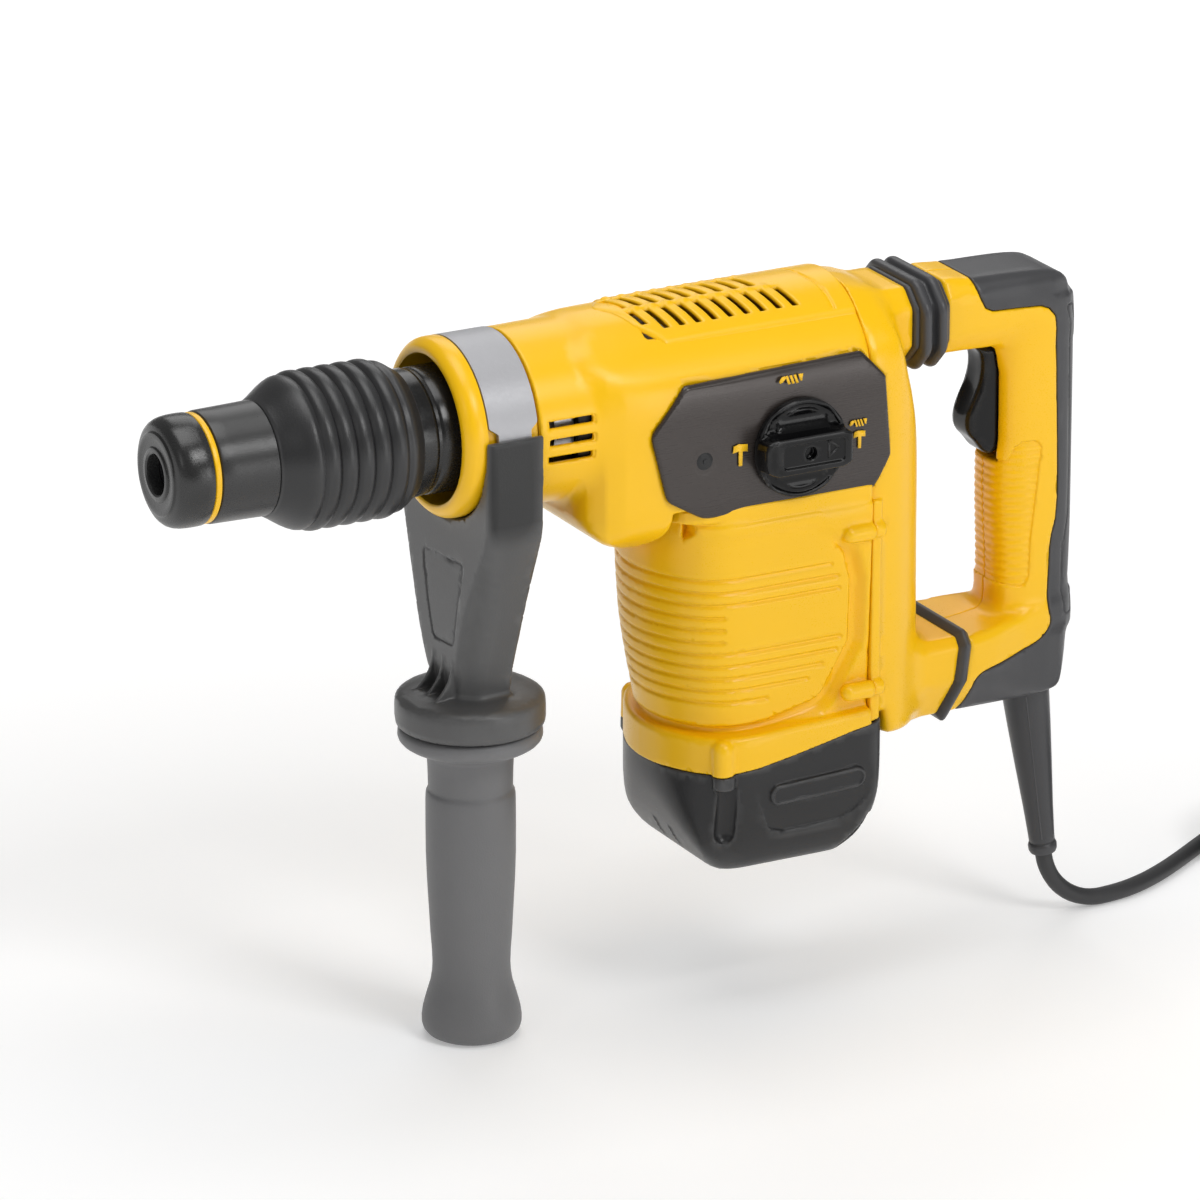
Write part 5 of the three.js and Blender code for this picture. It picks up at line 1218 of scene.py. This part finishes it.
def rear():
    v = Vol((201.8, -52, -182), (262, 52, 47.5), min(H, 0.7))
    xz = poly([(200, 60)] + smooth_line([(202.6, 45.6), (208, 44.4), (212.6, 42.2), (216.4, 38.8)], 3) + smooth_line([(220, 30), (224.4, 14), (229.2, 0), (234.6, -14), (239.0, -30), (241.4, -50), (242.6, -90), (244.4, -140), (245.0, -166), (243.4, -173.6), (238, -175.6), (228, -174.8), (217.6, -174.2), (213.2, -171.6), (211.6, -161.3)], 3) + [(211.6, -161.3), (200, -163.6)])
    pl = poly(plan_of([(190, -47)] + smooth_line(spinePlan, 3)))
    taper = [(0, 43.6)] + [p for p in caseSmooth[1:] if p[1] > -5] + [(47, -45), (46.4, -100), (45.8, -140), (45.6, -160), (46.6, -166), (45.0, -172), (40, -178.0), (28, -179.6), (0, -180)]
    sec = poly(mirror(taper))
    v.add(lambda X, Y, Z: rmax(rmax(pl(X, Y) + 0 * Z, sec(Y, Z) + 0 * X, 5.0), xz(X, Z) + 0 * Y, 7.0))
    nk = poly(neckYZ)
    # neck: octagon that flares into the shoulder
    v.add(lambda X, Y, Z: edge(nk(Y, Z) + 0 * X - 5.0 * np.clip((216 - X) / 14, 0, 1) ** 2, np.abs(X - 215) - 20.7, 1.4), k=9.0, box=(201, 240, -50, 50, -24, 48))
    st, sx = poly(stubYZ), poly([(222, -131), (260.6, -131), (253.6, -182), (222, -182)])
    v.add(lambda X, Y, Z: rmax(st(Y, Z) + 0 * X, sx(X, Z) + 0 * Y, 1.6), k=7.0, box=(226, 262, -40, 40, -182, -120))
    v.clip(lambda X, Y, Z: Z + 0 * X + 0 * Y - 47)
    # cover land at the front top, level with the vent cover
    v.clip(lambda X, Y, Z: np.sqrt(Y * Y + Z * Z) - (46.3 - 0.0 * X) if False else np.where(Z > 0, np.sqrt(Y * Y + Z * Z) - 46.2, F32(-30)) + 0 * X, 1.0, box=(200, 222, -60, 60, 20, 48))
    # flange along the parting line
    for s in (-1, 1):
        y0, y1 = sorted((s * 36, s * 60))
        fl_ = poly([(190, -52), (208.8, -52), (208.8, -163), (190, -166)])
        v.add(lambda X, Y, Z, s=s: rmax(np.maximum(X - 208.4, 195 - X) + 0 * Y, np.maximum(np.maximum(Z + 54 - 0, -163.5 - Z), np.maximum(s * Y - (48.0 - 0.012 * (-54 - Z)), 40 - s * Y)), 2.4), k=1.4, box=(201, 214, y0, y1, -168, -48))
        for zb in (-68.2, -146):
            v.add(capsule((196, s * 47.0, zb), (206.6, s * 47.0, zb), 3.9), k=1.0, box=(200, 216, y0, y1, zb - 9, zb + 9))
            v.cut(cyX(s * 47.4, zb, 2.4, 208.0, 216), 0.4, box=(204, 216, y0, y1, zb - 6, zb + 6))
            v.cut(cyX(s * 47.4, zb, 1.9, 200, 212))
    v.clip(lambda X, Y, Z: (SEAM_X + 0.3) - X, 0.8)
    cap_top = poly([(190, -165.6), (SEAM_X, -163.3), (211.9, -161.2), (212.4, -160.6), (214, -166), (220, -173.4), (228, -190), (190, -190)])
    v.cut(lambda X, Y, Z: np.maximum(X - 212.1, Z - (-163.6 + 0.26 * (X - SEAM_X))) + 0 * Y, 0.5, box=(200, 216, -60, 60, -184, -150))
    inner = poly([(200, -42), (212, -41.5), (222, -37), (231, -29.5), (237.5, -19), (241, -8), (241, 8), (237.5, 19), (231, 29.5), (222, 37), (212, 41.5), (200, 42)])
    v.cut(lambda X, Y, Z: np.maximum(np.maximum(inner(X, Y) + 0 * Z, np.abs(Z + 82) - 74), X - np.interp(Z, [-156, -90, -50, -30, -14, -8], [239.0, 237.2, 235.8, 233.0, 227.5, 225.0]).astype(F32)))
    ni = poly([(-13, 5), (-21, 12), (-21, 26), (-14, 32.5), (14, 32.5), (21, 26), (21, 12), (13, 5)])
    v.cut(lambda X, Y, Z: np.maximum(ni(Y, Z) + 0 * X, X - 226))
    v.cut(bx(200, 224, -26, 26, -20, 12))
    v.cut(cyX(0, 19, 7, 225, 240))
    # shallow bed under the plate's rear end
    v.cut(lambda X, Y, Z: np.maximum(np.maximum(PLATE_XZ(X, Z) - 0.35, Y + 38), -(wall_d(X, Y, Z) + 0.55)), 0.3, box=(200, 216, -60, -30, -52, 24))
    return v.mesh("rear_housing_shell", MAT["yellow"], 0.15)


o = rear()
finish_piece(o, "root", ("rear_housing",))
nn = 0
for yy in (-47.6, 47.6):
    for zz in (-68.2, -146):
        nn += 1
        o = revolve("case_screw_%d" % nn, [(191, 0), (191, 1.6), (206.2, 1.6), (206.2, 2.3), (208.4, 2.3), (208.8, 1.9), (208.8, 1.0), (207.8, 0.9), (207.6, 0)], MAT["dark_steel"], centre=(yy, zz), n=24)
        finish_piece(o, "root", ("housing_screw_%d" % nn,))

# ================================================================== side handle
def bracket():
    v = Vol((-9, -46.6, -147), (35, 46.6, 5.2), min(H, 0.6))
    half = [(-45.2, 4.2), (-46.0, -20), (-45.9, -38), (-44.6, -46), (-42.6, -53), (-38.6, -65), (-34.1, -79), (-28.6, -97), (-23.3, -113), (-20.4, -124), (-19.4, -131)]
    yz = poly(half + [(-a, b) for a, b in reversed(half)])
    xz = poly(smooth_line([(4.4, 4.4), (4.2, -20), (4.0, -44), (3.0, -58), (1.6, -76), (1.0, -96), (1.6, -112), (3.0, -122), (4.4, -131)], 3) + [(28.4, -131), (28.6, -118), (29.0, -106), (30.2, -80), (31.6, -60), (32.6, -44), (32.8, -20), (33.0, 4.8)])
    body = lambda X, Y, Z: rmax(yz(Y, Z) + 0 * X, xz(X, Z) + 0 * Y, 2.2)
    v.add(body)
    # bevel strips between the front face and the cheeks, and a crease down each cheek
    for s in (-1, 1):
        y0, y1 = sorted((s * 10, s * 60))
        v.clip(lambda X, Y, Z, s=s: np.where(s * Y > 0, 0.60 * (4.6 - X) + 0.80 * (s * Y - np.interp(Z, [-131, -122, -97, -79, -60, -48, -40, 10], [13.6, 15.4, 24.2, 30.0, 37.4, 42.2, 44.2, 45.2]).astype(F32)), F32(-30)), 1.6, box=(-9, 36, y0, y1, -131, 10))
        v.clip(lambda X, Y, Z, s=s: np.where(s * Y > 0, 0.17 * (X - 20.4) + 0.985 * (s * Y - np.interp(Z, [-131, -113, -97, -79, -65, -53, -46, -38, 10], [19.4, 23.0, 28.2, 33.8, 38.2, 42.4, 44.6, 46.2, 46.4]).astype(F32)), F32(-30)), 0.8, box=(-9, 36, y0, y1, -131, 10))
    # saddle round the collar
    v.cut(lambda X, Y, Z: np.sqrt(Y * Y + Z * Z) - 42.35 + 0 * X, 0.5, box=(-9, 36, -50, 50, -50, 10))
    v.cut(lambda X, Y, Z: np.maximum(np.sqrt(Y * Y + Z * Z) - 43.9 + 0.45 * (X - 3.0), Z + 20), 0.5, box=(-9, 12, -50, 50, -60, -16))
    v.cut(bx(10.6, 27.9, -43.3, 43.3, -40, 1.4))
    v.cut(bx(8.4, 28.6, -9, 9, -130, -46.5))
    # engraved outline of the panel on the front face
    pan = poly(rounded([(18.2, -63.2), (-21.6, -60.4), (-14.8, -101.2), (5.6, -102.6)], [3, 3, 4, 4], 4))
    v.cut(lambda X, Y, Z: np.maximum(np.abs(pan(Y, Z)) - 0.45 + 0 * X, -(body(X, Y, Z) + 0.7)), 0.3, box=(-3, 8, -26, 22, -106, -56))
    v.cut(lambda X, Y, Z: np.maximum(pan(Y, Z) + 0 * X, -(body(X, Y, Z) + 0.28)), 0.3, box=(-3, 8, -26, 22, -106, -56))
    # flange disc
    rr = lambda X, Y: np.sqrt((X - 17.2) ** 2 + Y ** 2)
    fl_ = poly([(-1, -145.6), (33.4, -145.6), (34.6, -144.4), (35.0, -142.6), (35.0, -134.2), (34.4, -132.2), (32.4, -130.6), (27, -128.9), (20, -127.8), (-1, -127.2)])
    v.add(lambda X, Y, Z: fl_(rr(X, Y) + 0 * Z, Z + 0 * X + 0 * Y), k=2.6, box=(-20, 54, -40, 40, -149, -118))
    # curved gussets on the front foot
    for yc in (7.2, -2.6, -12.2):
        gp = poly([(6, -108.5)] + smooth_line([(1.4, -110.5), (0.6, -116), (-1.4, -121.6), (-5.4, -127.0), (-9.4, -130.6)], 4) + [(-9, -134), (6, -134)])
        v.add(lambda X, Y, Z, yc=yc, gp=gp: rmax(gp(X, Z) + 0 * Y, np.abs(Y - yc - (Z + 118) * -0.10) - 0.85, 0.5), k=0.8, box=(-14, 8, yc - 5, yc + 5, -136, -106))
    v.cut(cyZ(17.2, 0, 6.4, -150, -120))
    return v.mesh("handle_bracket_body", MAT["bracket"], 0.15)


# the flange reaches past the bracket's own box, so its volume is wider
_old = Vol.__init__


def _wide(self, lo, hi, h=None):
    if tuple(lo) == (-9, -46.6, -147):
        lo, hi = (-20, -46.6, -147), (53.5, 46.6, 5.2)
    _old(self, lo, hi, h)


Vol.__init__ = _wide
o = bracket()
Vol.__init__ = _old
finish_piece(o, "side_handle", ("handle_bracket",))
gp = [(-300, 0), (-300, 16.4), (-299.6, 18.8), (-298.4, 21.0), (-296.4, 22.6), (-294, 23.3), (-291, 23.35), (-287, 22.8), (-283, 21.8), (-279.4, 20.8), (-274, 19.2), (-269, 18.4), (-264.7, 18.15), (-258, 18.4), (-250, 19.0), (-235, 19.8),
      (-222, 20.5), (-210, 20.9), (-196, 21.0), (-184, 20.95), (-180.6, 20.85), (-179.2, 20.6), (-178.2, 20.1), (-177.6, 19.75), (-176.4, 19.7), (-168, 19.9), (-161.4, 20.2), (-159.8, 20.6), (-158.6, 21.6), (-157.4, 24.4), (-156.2, 27.8), (-155.2, 30.2), (-154, 32.0), (-152.6, 33.2), (-151, 33.7), (-149, 33.6), (-147.6, 33.0), (-146.7, 32.0), (-146.3, 30.6), (-146.3, 6.2), (-178.4, 6.2), (-178.4, 0)]
o = revolve("side_grip_rubber", gp, MAT["grip"], axis="z", centre=(17.2, 0))
finish_piece(o, "side_grip", ("side_grip",))

# ================================================================== rear handle
hOuter = smooth_line([(255.8, 37.2), (263, 36.6), (270, 35.2), (282, 34.8), (296, 34.4), (310, 33.6), (318.4, 31.6), (325.6, 27.2), (330.4, 20.8), (333.4, 12.4), (335, 0), (335.5, -20), (335.7, -50), (335.8, -84), (335, -104), (333.2, -118), (332.4, -126), (332.8, -134), (333.8, -141), (333.2, -152), (330.6, -164), (327.4, -173), (323.4, -177.4), (317, -178.2)], 2) + [(260.4, -178.2), (266.4, -137.2)]
hInner = smooth_line([(272, -137.6), (280.4, -135.6), (286, -131.2), (288.6, -124.8), (290.0, -118), (289.8, -104), (288.6, -88), (287.8, -74), (288.2, -62), (289.6, -55), (290.8, -49), (290.8, -34), (290.6, -16), (288.0, -9), (283, -5), (276, -2.6), (268, -1.6), (255.8, -1.2)], 2)
_hprof = poly(hOuter + hInner)
gInner = [(290.4, -150), (290.4, -118), (290.0, -104), (288.6, -88), (287.8, -74), (288.2, -62), (289.6, -55), (290.8, -49), (290.8, -34), (290.6, -16), (288.0, -9), (283, -5)]
_gprof = poly([p for p in hOuter if -150 < p[1] < 30] + gInner + [(283, 30)])
_lprof = poly([p for p in hOuter if p[1] < -128] + [(254, -178.2), (262, -138.4), (268, -137.9), (281.4, -136.5), (292.5, -135.4), (304.1, -134.8), (334, -133.0)])
_arm = poly(rounded([(-21.5, 27.6), (-15, 36.8), (15, 36.8), (21.5, 27.6), (21.5, 8.6), (15, -1.4), (-15, -1.4), (-21.5, 8.6)], 5, 5))
_topxy = poly(plan_of([(255.6, -24), (262, -23.6), (300, -22.0), (316, -19.8), (325, -15.8), (329.6, -9.6), (333.4, -3), (334.4, 0)]))
_gripxy = poly(plan_of(smooth_line([(286.4, 0), (287.0, -5), (289.4, -10), (294, -14.6), (300.4, -17.6), (309, -18.8), (317, -18.6), (324.6, -16.4), (330.6, -12.0), (334.2, -6.0), (335.6, 0)], 3)))
_lowxy = poly(plan_of([(257, -32.4), (268, -31.2), (284, -27.4), (300, -22.0), (316, -18.4), (325.4, -15.2), (331.2, -10), (334.2, -4), (334.8, 0)]))
_lowyz = poly(rounded([(-27, -120), (-27, -136.6), (-32.2, -140.9), (-32.2, -156.8), (-21.6, -173), (-17.6, -178.4), (17.6, -178.4), (21.6, -173), (32.2, -156.8), (32.2, -140.9), (27, -136.6), (27, -120)], [0, 3, 3, 4, 5, 4, 4, 5, 4, 3, 3, 0], 4))


def handle_d(X, Y, Z):
    pr = _hprof(X, Z) + 0 * Y
    arm = rmax(rmax(pr, _arm(Y, Z) + 0 * X, 3.0), rmax(_topxy(X, Y) + 0 * Z, -(Z + 12), 1.0), 4.0)
    gp_ = _gprof(X, Z) + 0 * Y
    lp_ = _lprof(X, Z) + 0 * Y
    grip = rmax(rmax(gp_, _gripxy(X, Y) + 0 * Z, 5.5), np.maximum(Z - 18, -146 - Z), 1.0)
    low = rmax(rmax(lp_, _lowyz(Y, Z) + 0 * X, 1.6), _lowxy(X, Y) + 0 * Z, 4.5)
    return rmin(rmin(arm, grip, 5.0), low, 7.0)


overXZ = [(271, 70), (272.0, 34.8), (274.4, 26.6), (277.6, 20.6), (281.6, 18.5), (300, 17.6), (307.6, 17.1), (312.4, 15.2), (316.0, 11.0), (317.4, 4), (318.4, -15), (319.6, -50), (320.2, -70), (320.2, -80), (319.2, -91), (317.0, -97.6), (316.0, -104)] + smooth_line([(315.2, -123), (315.0, -133.8), (316.4, -140.6), (314.4, -146.4), (309.1, -150.2), (296.3, -152.9), (288.1, -154.3), (280.9, -155.3), (274.0, -156.7), (270.4, -159.6), (269.2, -165.0), (268.0, -171.9), (265.9, -177.0), (264.6, -180)], 3) + [(260, -205), (370, -205), (370, 70)]
_over = poly(overXZ)
_ribpan = poly(rounded([(282.6, -58.0), (294.3, -59.6), (297.4, -52.4), (301, -50.2), (307.6, -50.0), (310.4, -53.4), (309.2, -62), (306.6, -86), (304.9, -100), (304.6, -117), (302, -122), (292, -120.4), (277, -117.4), (277, -60)], [0, 2, 2, 2, 3, 3, 4, 4, 3, 3, 3, 2, 0, 0], 4))


def handle_vol():
    v = Vol((254.6, -34, -180), (337.4, 34, 38.6), min(H, 0.6))
    sl, X, Y, Z = v.win(None)
    v.d[sl] = handle_d(X, Y, Z)
    # inset field on both sides of the grip, with horizontal ribs
    gate = lambda Y: np.abs(Y) - 6
    skin = v.d.copy()
    rp = _ribpan(X, Z) + 0 * Y
    rib = 0.34 * np.cos(2 * np.pi * (Z + 60) / 3.9)
    field = np.maximum(rp, -(skin + 0.75 + rib))
    v.d[sl] = rmax(v.d[sl], -field, 0.5)
    # outline groove round the field
    v.d[sl] = rmax(v.d[sl], -np.maximum(np.abs(rp) - 0.35, -(skin + 0.9)), 0.3)
    return v, skin


hv, hskin = handle_vol()
sl, HX, HY, HZ = hv.win(None)
ov2 = _over(HX, HZ) + 0 * HY


def derived(base, extra):
    w = Vol.__new__(Vol)
    w.h, w.lo, w.ax = base.h, base.lo, base.ax
    w.d = extra
    return w


# rubber overmould: rear strap and underside
om = rmax(hskin, ov2 + 0.15, 0.9)
ins = poly(rounded([(323.4, 14), (326.2, 6), (327.4, -20), (328.2, -70), (327.6, -92), (324.6, -104), (323.6, -128), (325.6, -140), (330.8, -140), (331.2, -104), (332.6, -84), (332.4, -20), (330.6, 6), (327, 15)], 1.6, 3))
ip = ins(HX, HZ) + 0 * HY
om = rmax(om, -np.maximum(np.abs(ip) - 0.35, -(hskin + 0.6)), 0.3)
wv = derived(hv, om.astype(F32))
wv.cut(lambda X, Y, Z: capsule((314.4, 0, -170), tuple(strain0 + sdir * 20), 9.0)(X, Y, Z), 0.4, box=(296, 336, -20, 20, -182, -168))
o = wv.mesh("handle_overmould", MAT["rubber"], 0.15)
finish_piece(o, "rear_handle", ("handle_overmold",))
# yellow shells, split down the middle, hollow where the switch sits
shell = rmax(hv.d, -(ov2 - 0.15), 0.9)
for name, s in (("handle_shell_near", -1), ("handle_shell_far", 1)):
    d = rmax(shell, (0.12 - s * HY) + 0 * HX + 0 * HZ, 0.6)
    w = derived(hv, d.astype(F32))
    w.cut(bx(283, 300, -9.4, 9.4, -60.5, -3.4, 0.8), 0.6)
    w.cut(prY([(296, -62), (314.8, -62), (314.8, 8), (296, 8)], -12.6, 12.6))
    w.cut(bx(262, 276, -14, 14, 6, 28))
    w.cut(bx(274, 300, -6, 6, 6, 14))
    w.cut(bx(268, 300, -12, 12, -158, -142))
    if s < 0:
        for xx, zz, yy in ((262.0, 17.6, -21.5), (300, -140.6, -24)):
            pass
    o = w.mesh(name, MAT["yellow"], 0.15)
    finish_piece(o, "rear_handle", ("handle_shell_left" if s < 0 else "handle_shell_right",))
del hv, hskin, ov2, om, shell, ip


def trigger():
    v = Vol((267.6, -9.8, -58.4), (300.6, 9.8, -1.6), 0.45)
    pr = poly(smooth_line([(280.6, -3.4), (283.6, -8), (284.2, -15), (282.4, -22.6), (279.2, -29.2), (276.8, -35.8), (276.2, -41.4), (277.6, -46.0), (281.2, -50.2), (285, -55.0), (288.8, -57.0), (292.6, -55.4)], 4) + [(299.4, -50), (299.4, -12), (291, -3.6)])
    v.add(lambda X, Y, Z: edge(pr(X, Z) + 0 * Y, np.abs(Y) - 8.7, 3.2))
    # shallow finger dish
    v.cut(lambda X, Y, Z: np.sqrt((X - 255.2) ** 2 + (Z + 17.0) ** 2) + 0.035 * Y * Y - 28.2, 2.0)
    v.clip(lambda X, Y, Z: X - 299.6)
    return v.mesh("trigger_lever", MAT["gloss"], 0.1)


o = trigger()
finish_piece(o, "trigger", ("trigger",))


def sweep_section(name, prof, sections, mat, deg=40, flip=False):
    """Loft: for each (x, offset) take the outline grown by offset; the outline is a closed list of (y, z)."""
    V, Q = [], []
    n = len(sections[0])
    for (x, _), s in zip(prof, sections):
        V += [(x if not callable(x) else x(p), p[0], p[1]) for p in s]
    m = len(prof)
    for i in range(m):
        j = (i + 1) % m
        for k in range(n):
            l_ = (k + 1) % n
            Q.append((i * n + k, j * n + k, j * n + l_, i * n + l_))
    V, Q = np.array(V, float), np.array(Q)
    T = np.vstack([Q[:, [0, 1, 2]], Q[:, [0, 2, 3]]])
    if np.einsum("ij,ij->i", V[T[:, 0]], np.cross(V[T[:, 1]], V[T[:, 2]])).sum() < 0:
        Q = Q[:, ::-1]
    o = new_object(name, V, (np.zeros((0, 3), int), Q), mat)
    sharp_by_angle(o, deg)
    return o


def oct_outline(half, zlo, zhi, c, r):
    return rounded(oct_pts(half, zlo, zhi, c), r, 6)


# bellows: two soft rings on a thin sleeve
bprof = []
for x, off in [(236.2, -0.4), (237.0, 0.6), (238.2, 0.8)] + [(241.1 + 2.9 * math.sin(t), 0.9 + 4.5 * math.cos(t) ** 0.8) for t in np.linspace(-1.5, 1.5, 11)] + [(245.3, 0.5)] + [(249.5 + 2.9 * math.sin(t), 0.9 + 4.5 * math.cos(t) ** 0.8) for t in np.linspace(-1.5, 1.5, 11)] + [(253.4, 0.7), (254.6, 0.4), (255.2, -0.6)]:
    bprof.append((x, off))
inner_b = [(255.2, -4.6), (236.2, -4.6)]
full = bprof + inner_b
secs = [oct_outline(26.4 + off, 0.8 - off, 36.4 + 0.62 * off, max(3, 9.0 + off * 0.5), max(2.0, 4.5 + off)) for _, off in full]
o = sweep_section("bellows_rubber", full, secs, MAT["rubber"], 60)
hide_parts("bellows")
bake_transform(o)

# lower seal, on a plane that leans with the joint
lean = (266.1 - 259.0) / 54.0
sealb = [(-28, -136.4), (-32.5, -140.5), (-32.5, -157), (-20, -177.6), (20, -177.6), (32.5, -157), (32.5, -140.5), (28, -136.4)]


def grown(pts, d):
    c = np.array([0, -156.0])
    P = np.array(pts, float)
    out = []
    n = len(P)
    for i in range(n):
        a, b, q = P[i - 1], P[i], P[(i + 1) % n]
        u = (b - a) / np.linalg.norm(b - a); w = (q - b) / np.linalg.norm(q - b)
        na, nb = np.array([-u[1], u[0]]), np.array([-w[1], w[0]])
        if na @ (b - c) < 0:
            na = -na
        if nb @ (b - c) < 0:
            nb = -nb
        m_ = na + nb; m_ /= np.linalg.norm(m_)
        out.append(tuple(b + m_ * d / max(0.5, m_ @ na)))
    return out


sprof = [(-3.2, -3.2), (-3.2, -0.2), (-3.0, 0.3), (-1.2, 2.5), (-0.6, 3.0), (0.2, 3.1), (0.9, 2.8), (2.8, 1.2), (3.1, 0.7), (3.2, 0.0), (3.2, -3.2)]
V, Q = [], []
secs = []
for x, off in sprof:
    s = rounded(grown(sealb, off), 3.0, 5)
    secs.append([(p[0], p[1]) for p in s])
n_ = len(secs[0])
for (x, off), s in zip(sprof, secs):
    V += [(x + 263.0 + lean * (p[1] + 133.0), p[0], p[1]) for p in s]
for i in range(len(sprof)):
    j = (i + 1) % len(sprof)
    for k in range(n_):
        l_ = (k + 1) % n_
        Q.append((i * n_ + k, j * n_ + k, j * n_ + l_, i * n_ + l_))
V, Q = np.array(V), np.array(Q)
T = np.vstack([Q[:, [0, 1, 2]], Q[:, [0, 2, 3]]])
if np.einsum("ij,ij->i", V[T[:, 0]], np.cross(V[T[:, 1]], V[T[:, 2]])).sum() < 0:
    Q = Q[:, ::-1]
o = new_object("lower_joint_seal", V, (np.zeros((0, 3), int), Q), MAT["rubber"])
sharp_by_angle(o, 50)
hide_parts("lower_seal")
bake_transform(o)

# strain relief: tapered boot with a moulded seam and an end collar
zax = -sdir
xax = np.cross([0, 1, 0], sdir); xax /= np.linalg.norm(xax)
yax = np.cross(sdir, xax)
Mx = np.eye(4)
Mx[:3, 0], Mx[:3, 1], Mx[:3, 2], Mx[:3, 3] = sdir, xax, yax, strain0
sprof2 = [(-4, 0), (-4, 9.0), (0.4, 9.2), (0.5, 11.5), (1.6, 11.7), (3.0, 11.5), (8, 11.2), (20, 10.5), (30, 9.8), (40, 9.1), (52, 8.2), (64, 7.3), (74, 6.7), (80, 6.35), (82.4, 6.3), (82.8, 6.0), (83.3, 6.0), (83.7, 6.5), (85.0, 7.0), (87.2, 6.9), (88.6, 6.3), (89.1, 5.2), (89.1, 4.15), (60, 4.15), (60, 0)]
o = revolve("cord_strain_relief", sprof2, MAT["rubber"], matrix=Mx, n=72, smooth_deg=40)
finish_piece(o, "rear_handle", ("strain_relief",))
for i, ang in enumerate((math.radians(-62), math.radians(118))):
    dirv = xax * math.cos(ang) + yax * math.sin(ang)
    pth = [strain0 + sdir * t + dirv * (r - 0.05) for t, r in ((2.2, 11.5), (8, 11.2), (20, 10.5), (40, 9.1), (60, 7.6), (80, 6.35))]
    q = tube("relief_seam_%d" % i, pth, 0.35, MAT["rubber"], 8)
    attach(q, "rear_handle")

# ================================================================== finishes of the pieces kept from the CAD model
keep = {}
for nme in ("spindle", "spindle_bevel_gear", "ram", "impact_bolt", "piston", "connecting_rod", "crank_gear", "bevel_shaft", "clamp_bolt", "bearing_lower", "spindle_bearing_front", "armature"):
    keep[nme] = "steel"
keep["stator"] = "dark_steel"
keep["gear_case"] = "black"
keep["field_windings"] = "copper"
keep["brush_left"] = keep["brush_right"] = "brass"
keep["switch_body"] = "black"
keep["cooling_fan"] = "black"
for nme, mt in keep.items():
    ob = bpy.data.objects.get(nme)
    if ob is None:
        continue
    if len(ob.material_slots) == 0:
        ob.data.materials.append(MAT[mt])
    for ms in ob.material_slots:
        ms.material = MAT[mt]

# ------------------------------------------------------------------ finish
VIS_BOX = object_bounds()


def plain(b):
    return [[float(v) for v in p] for p in b]


{"cad": plain(CAD_BOX), "visual": plain(VIS_BOX), "seconds": round(time.time() - T0, 1)}
print("scene built in", round(time.time() - T0, 1), "s")
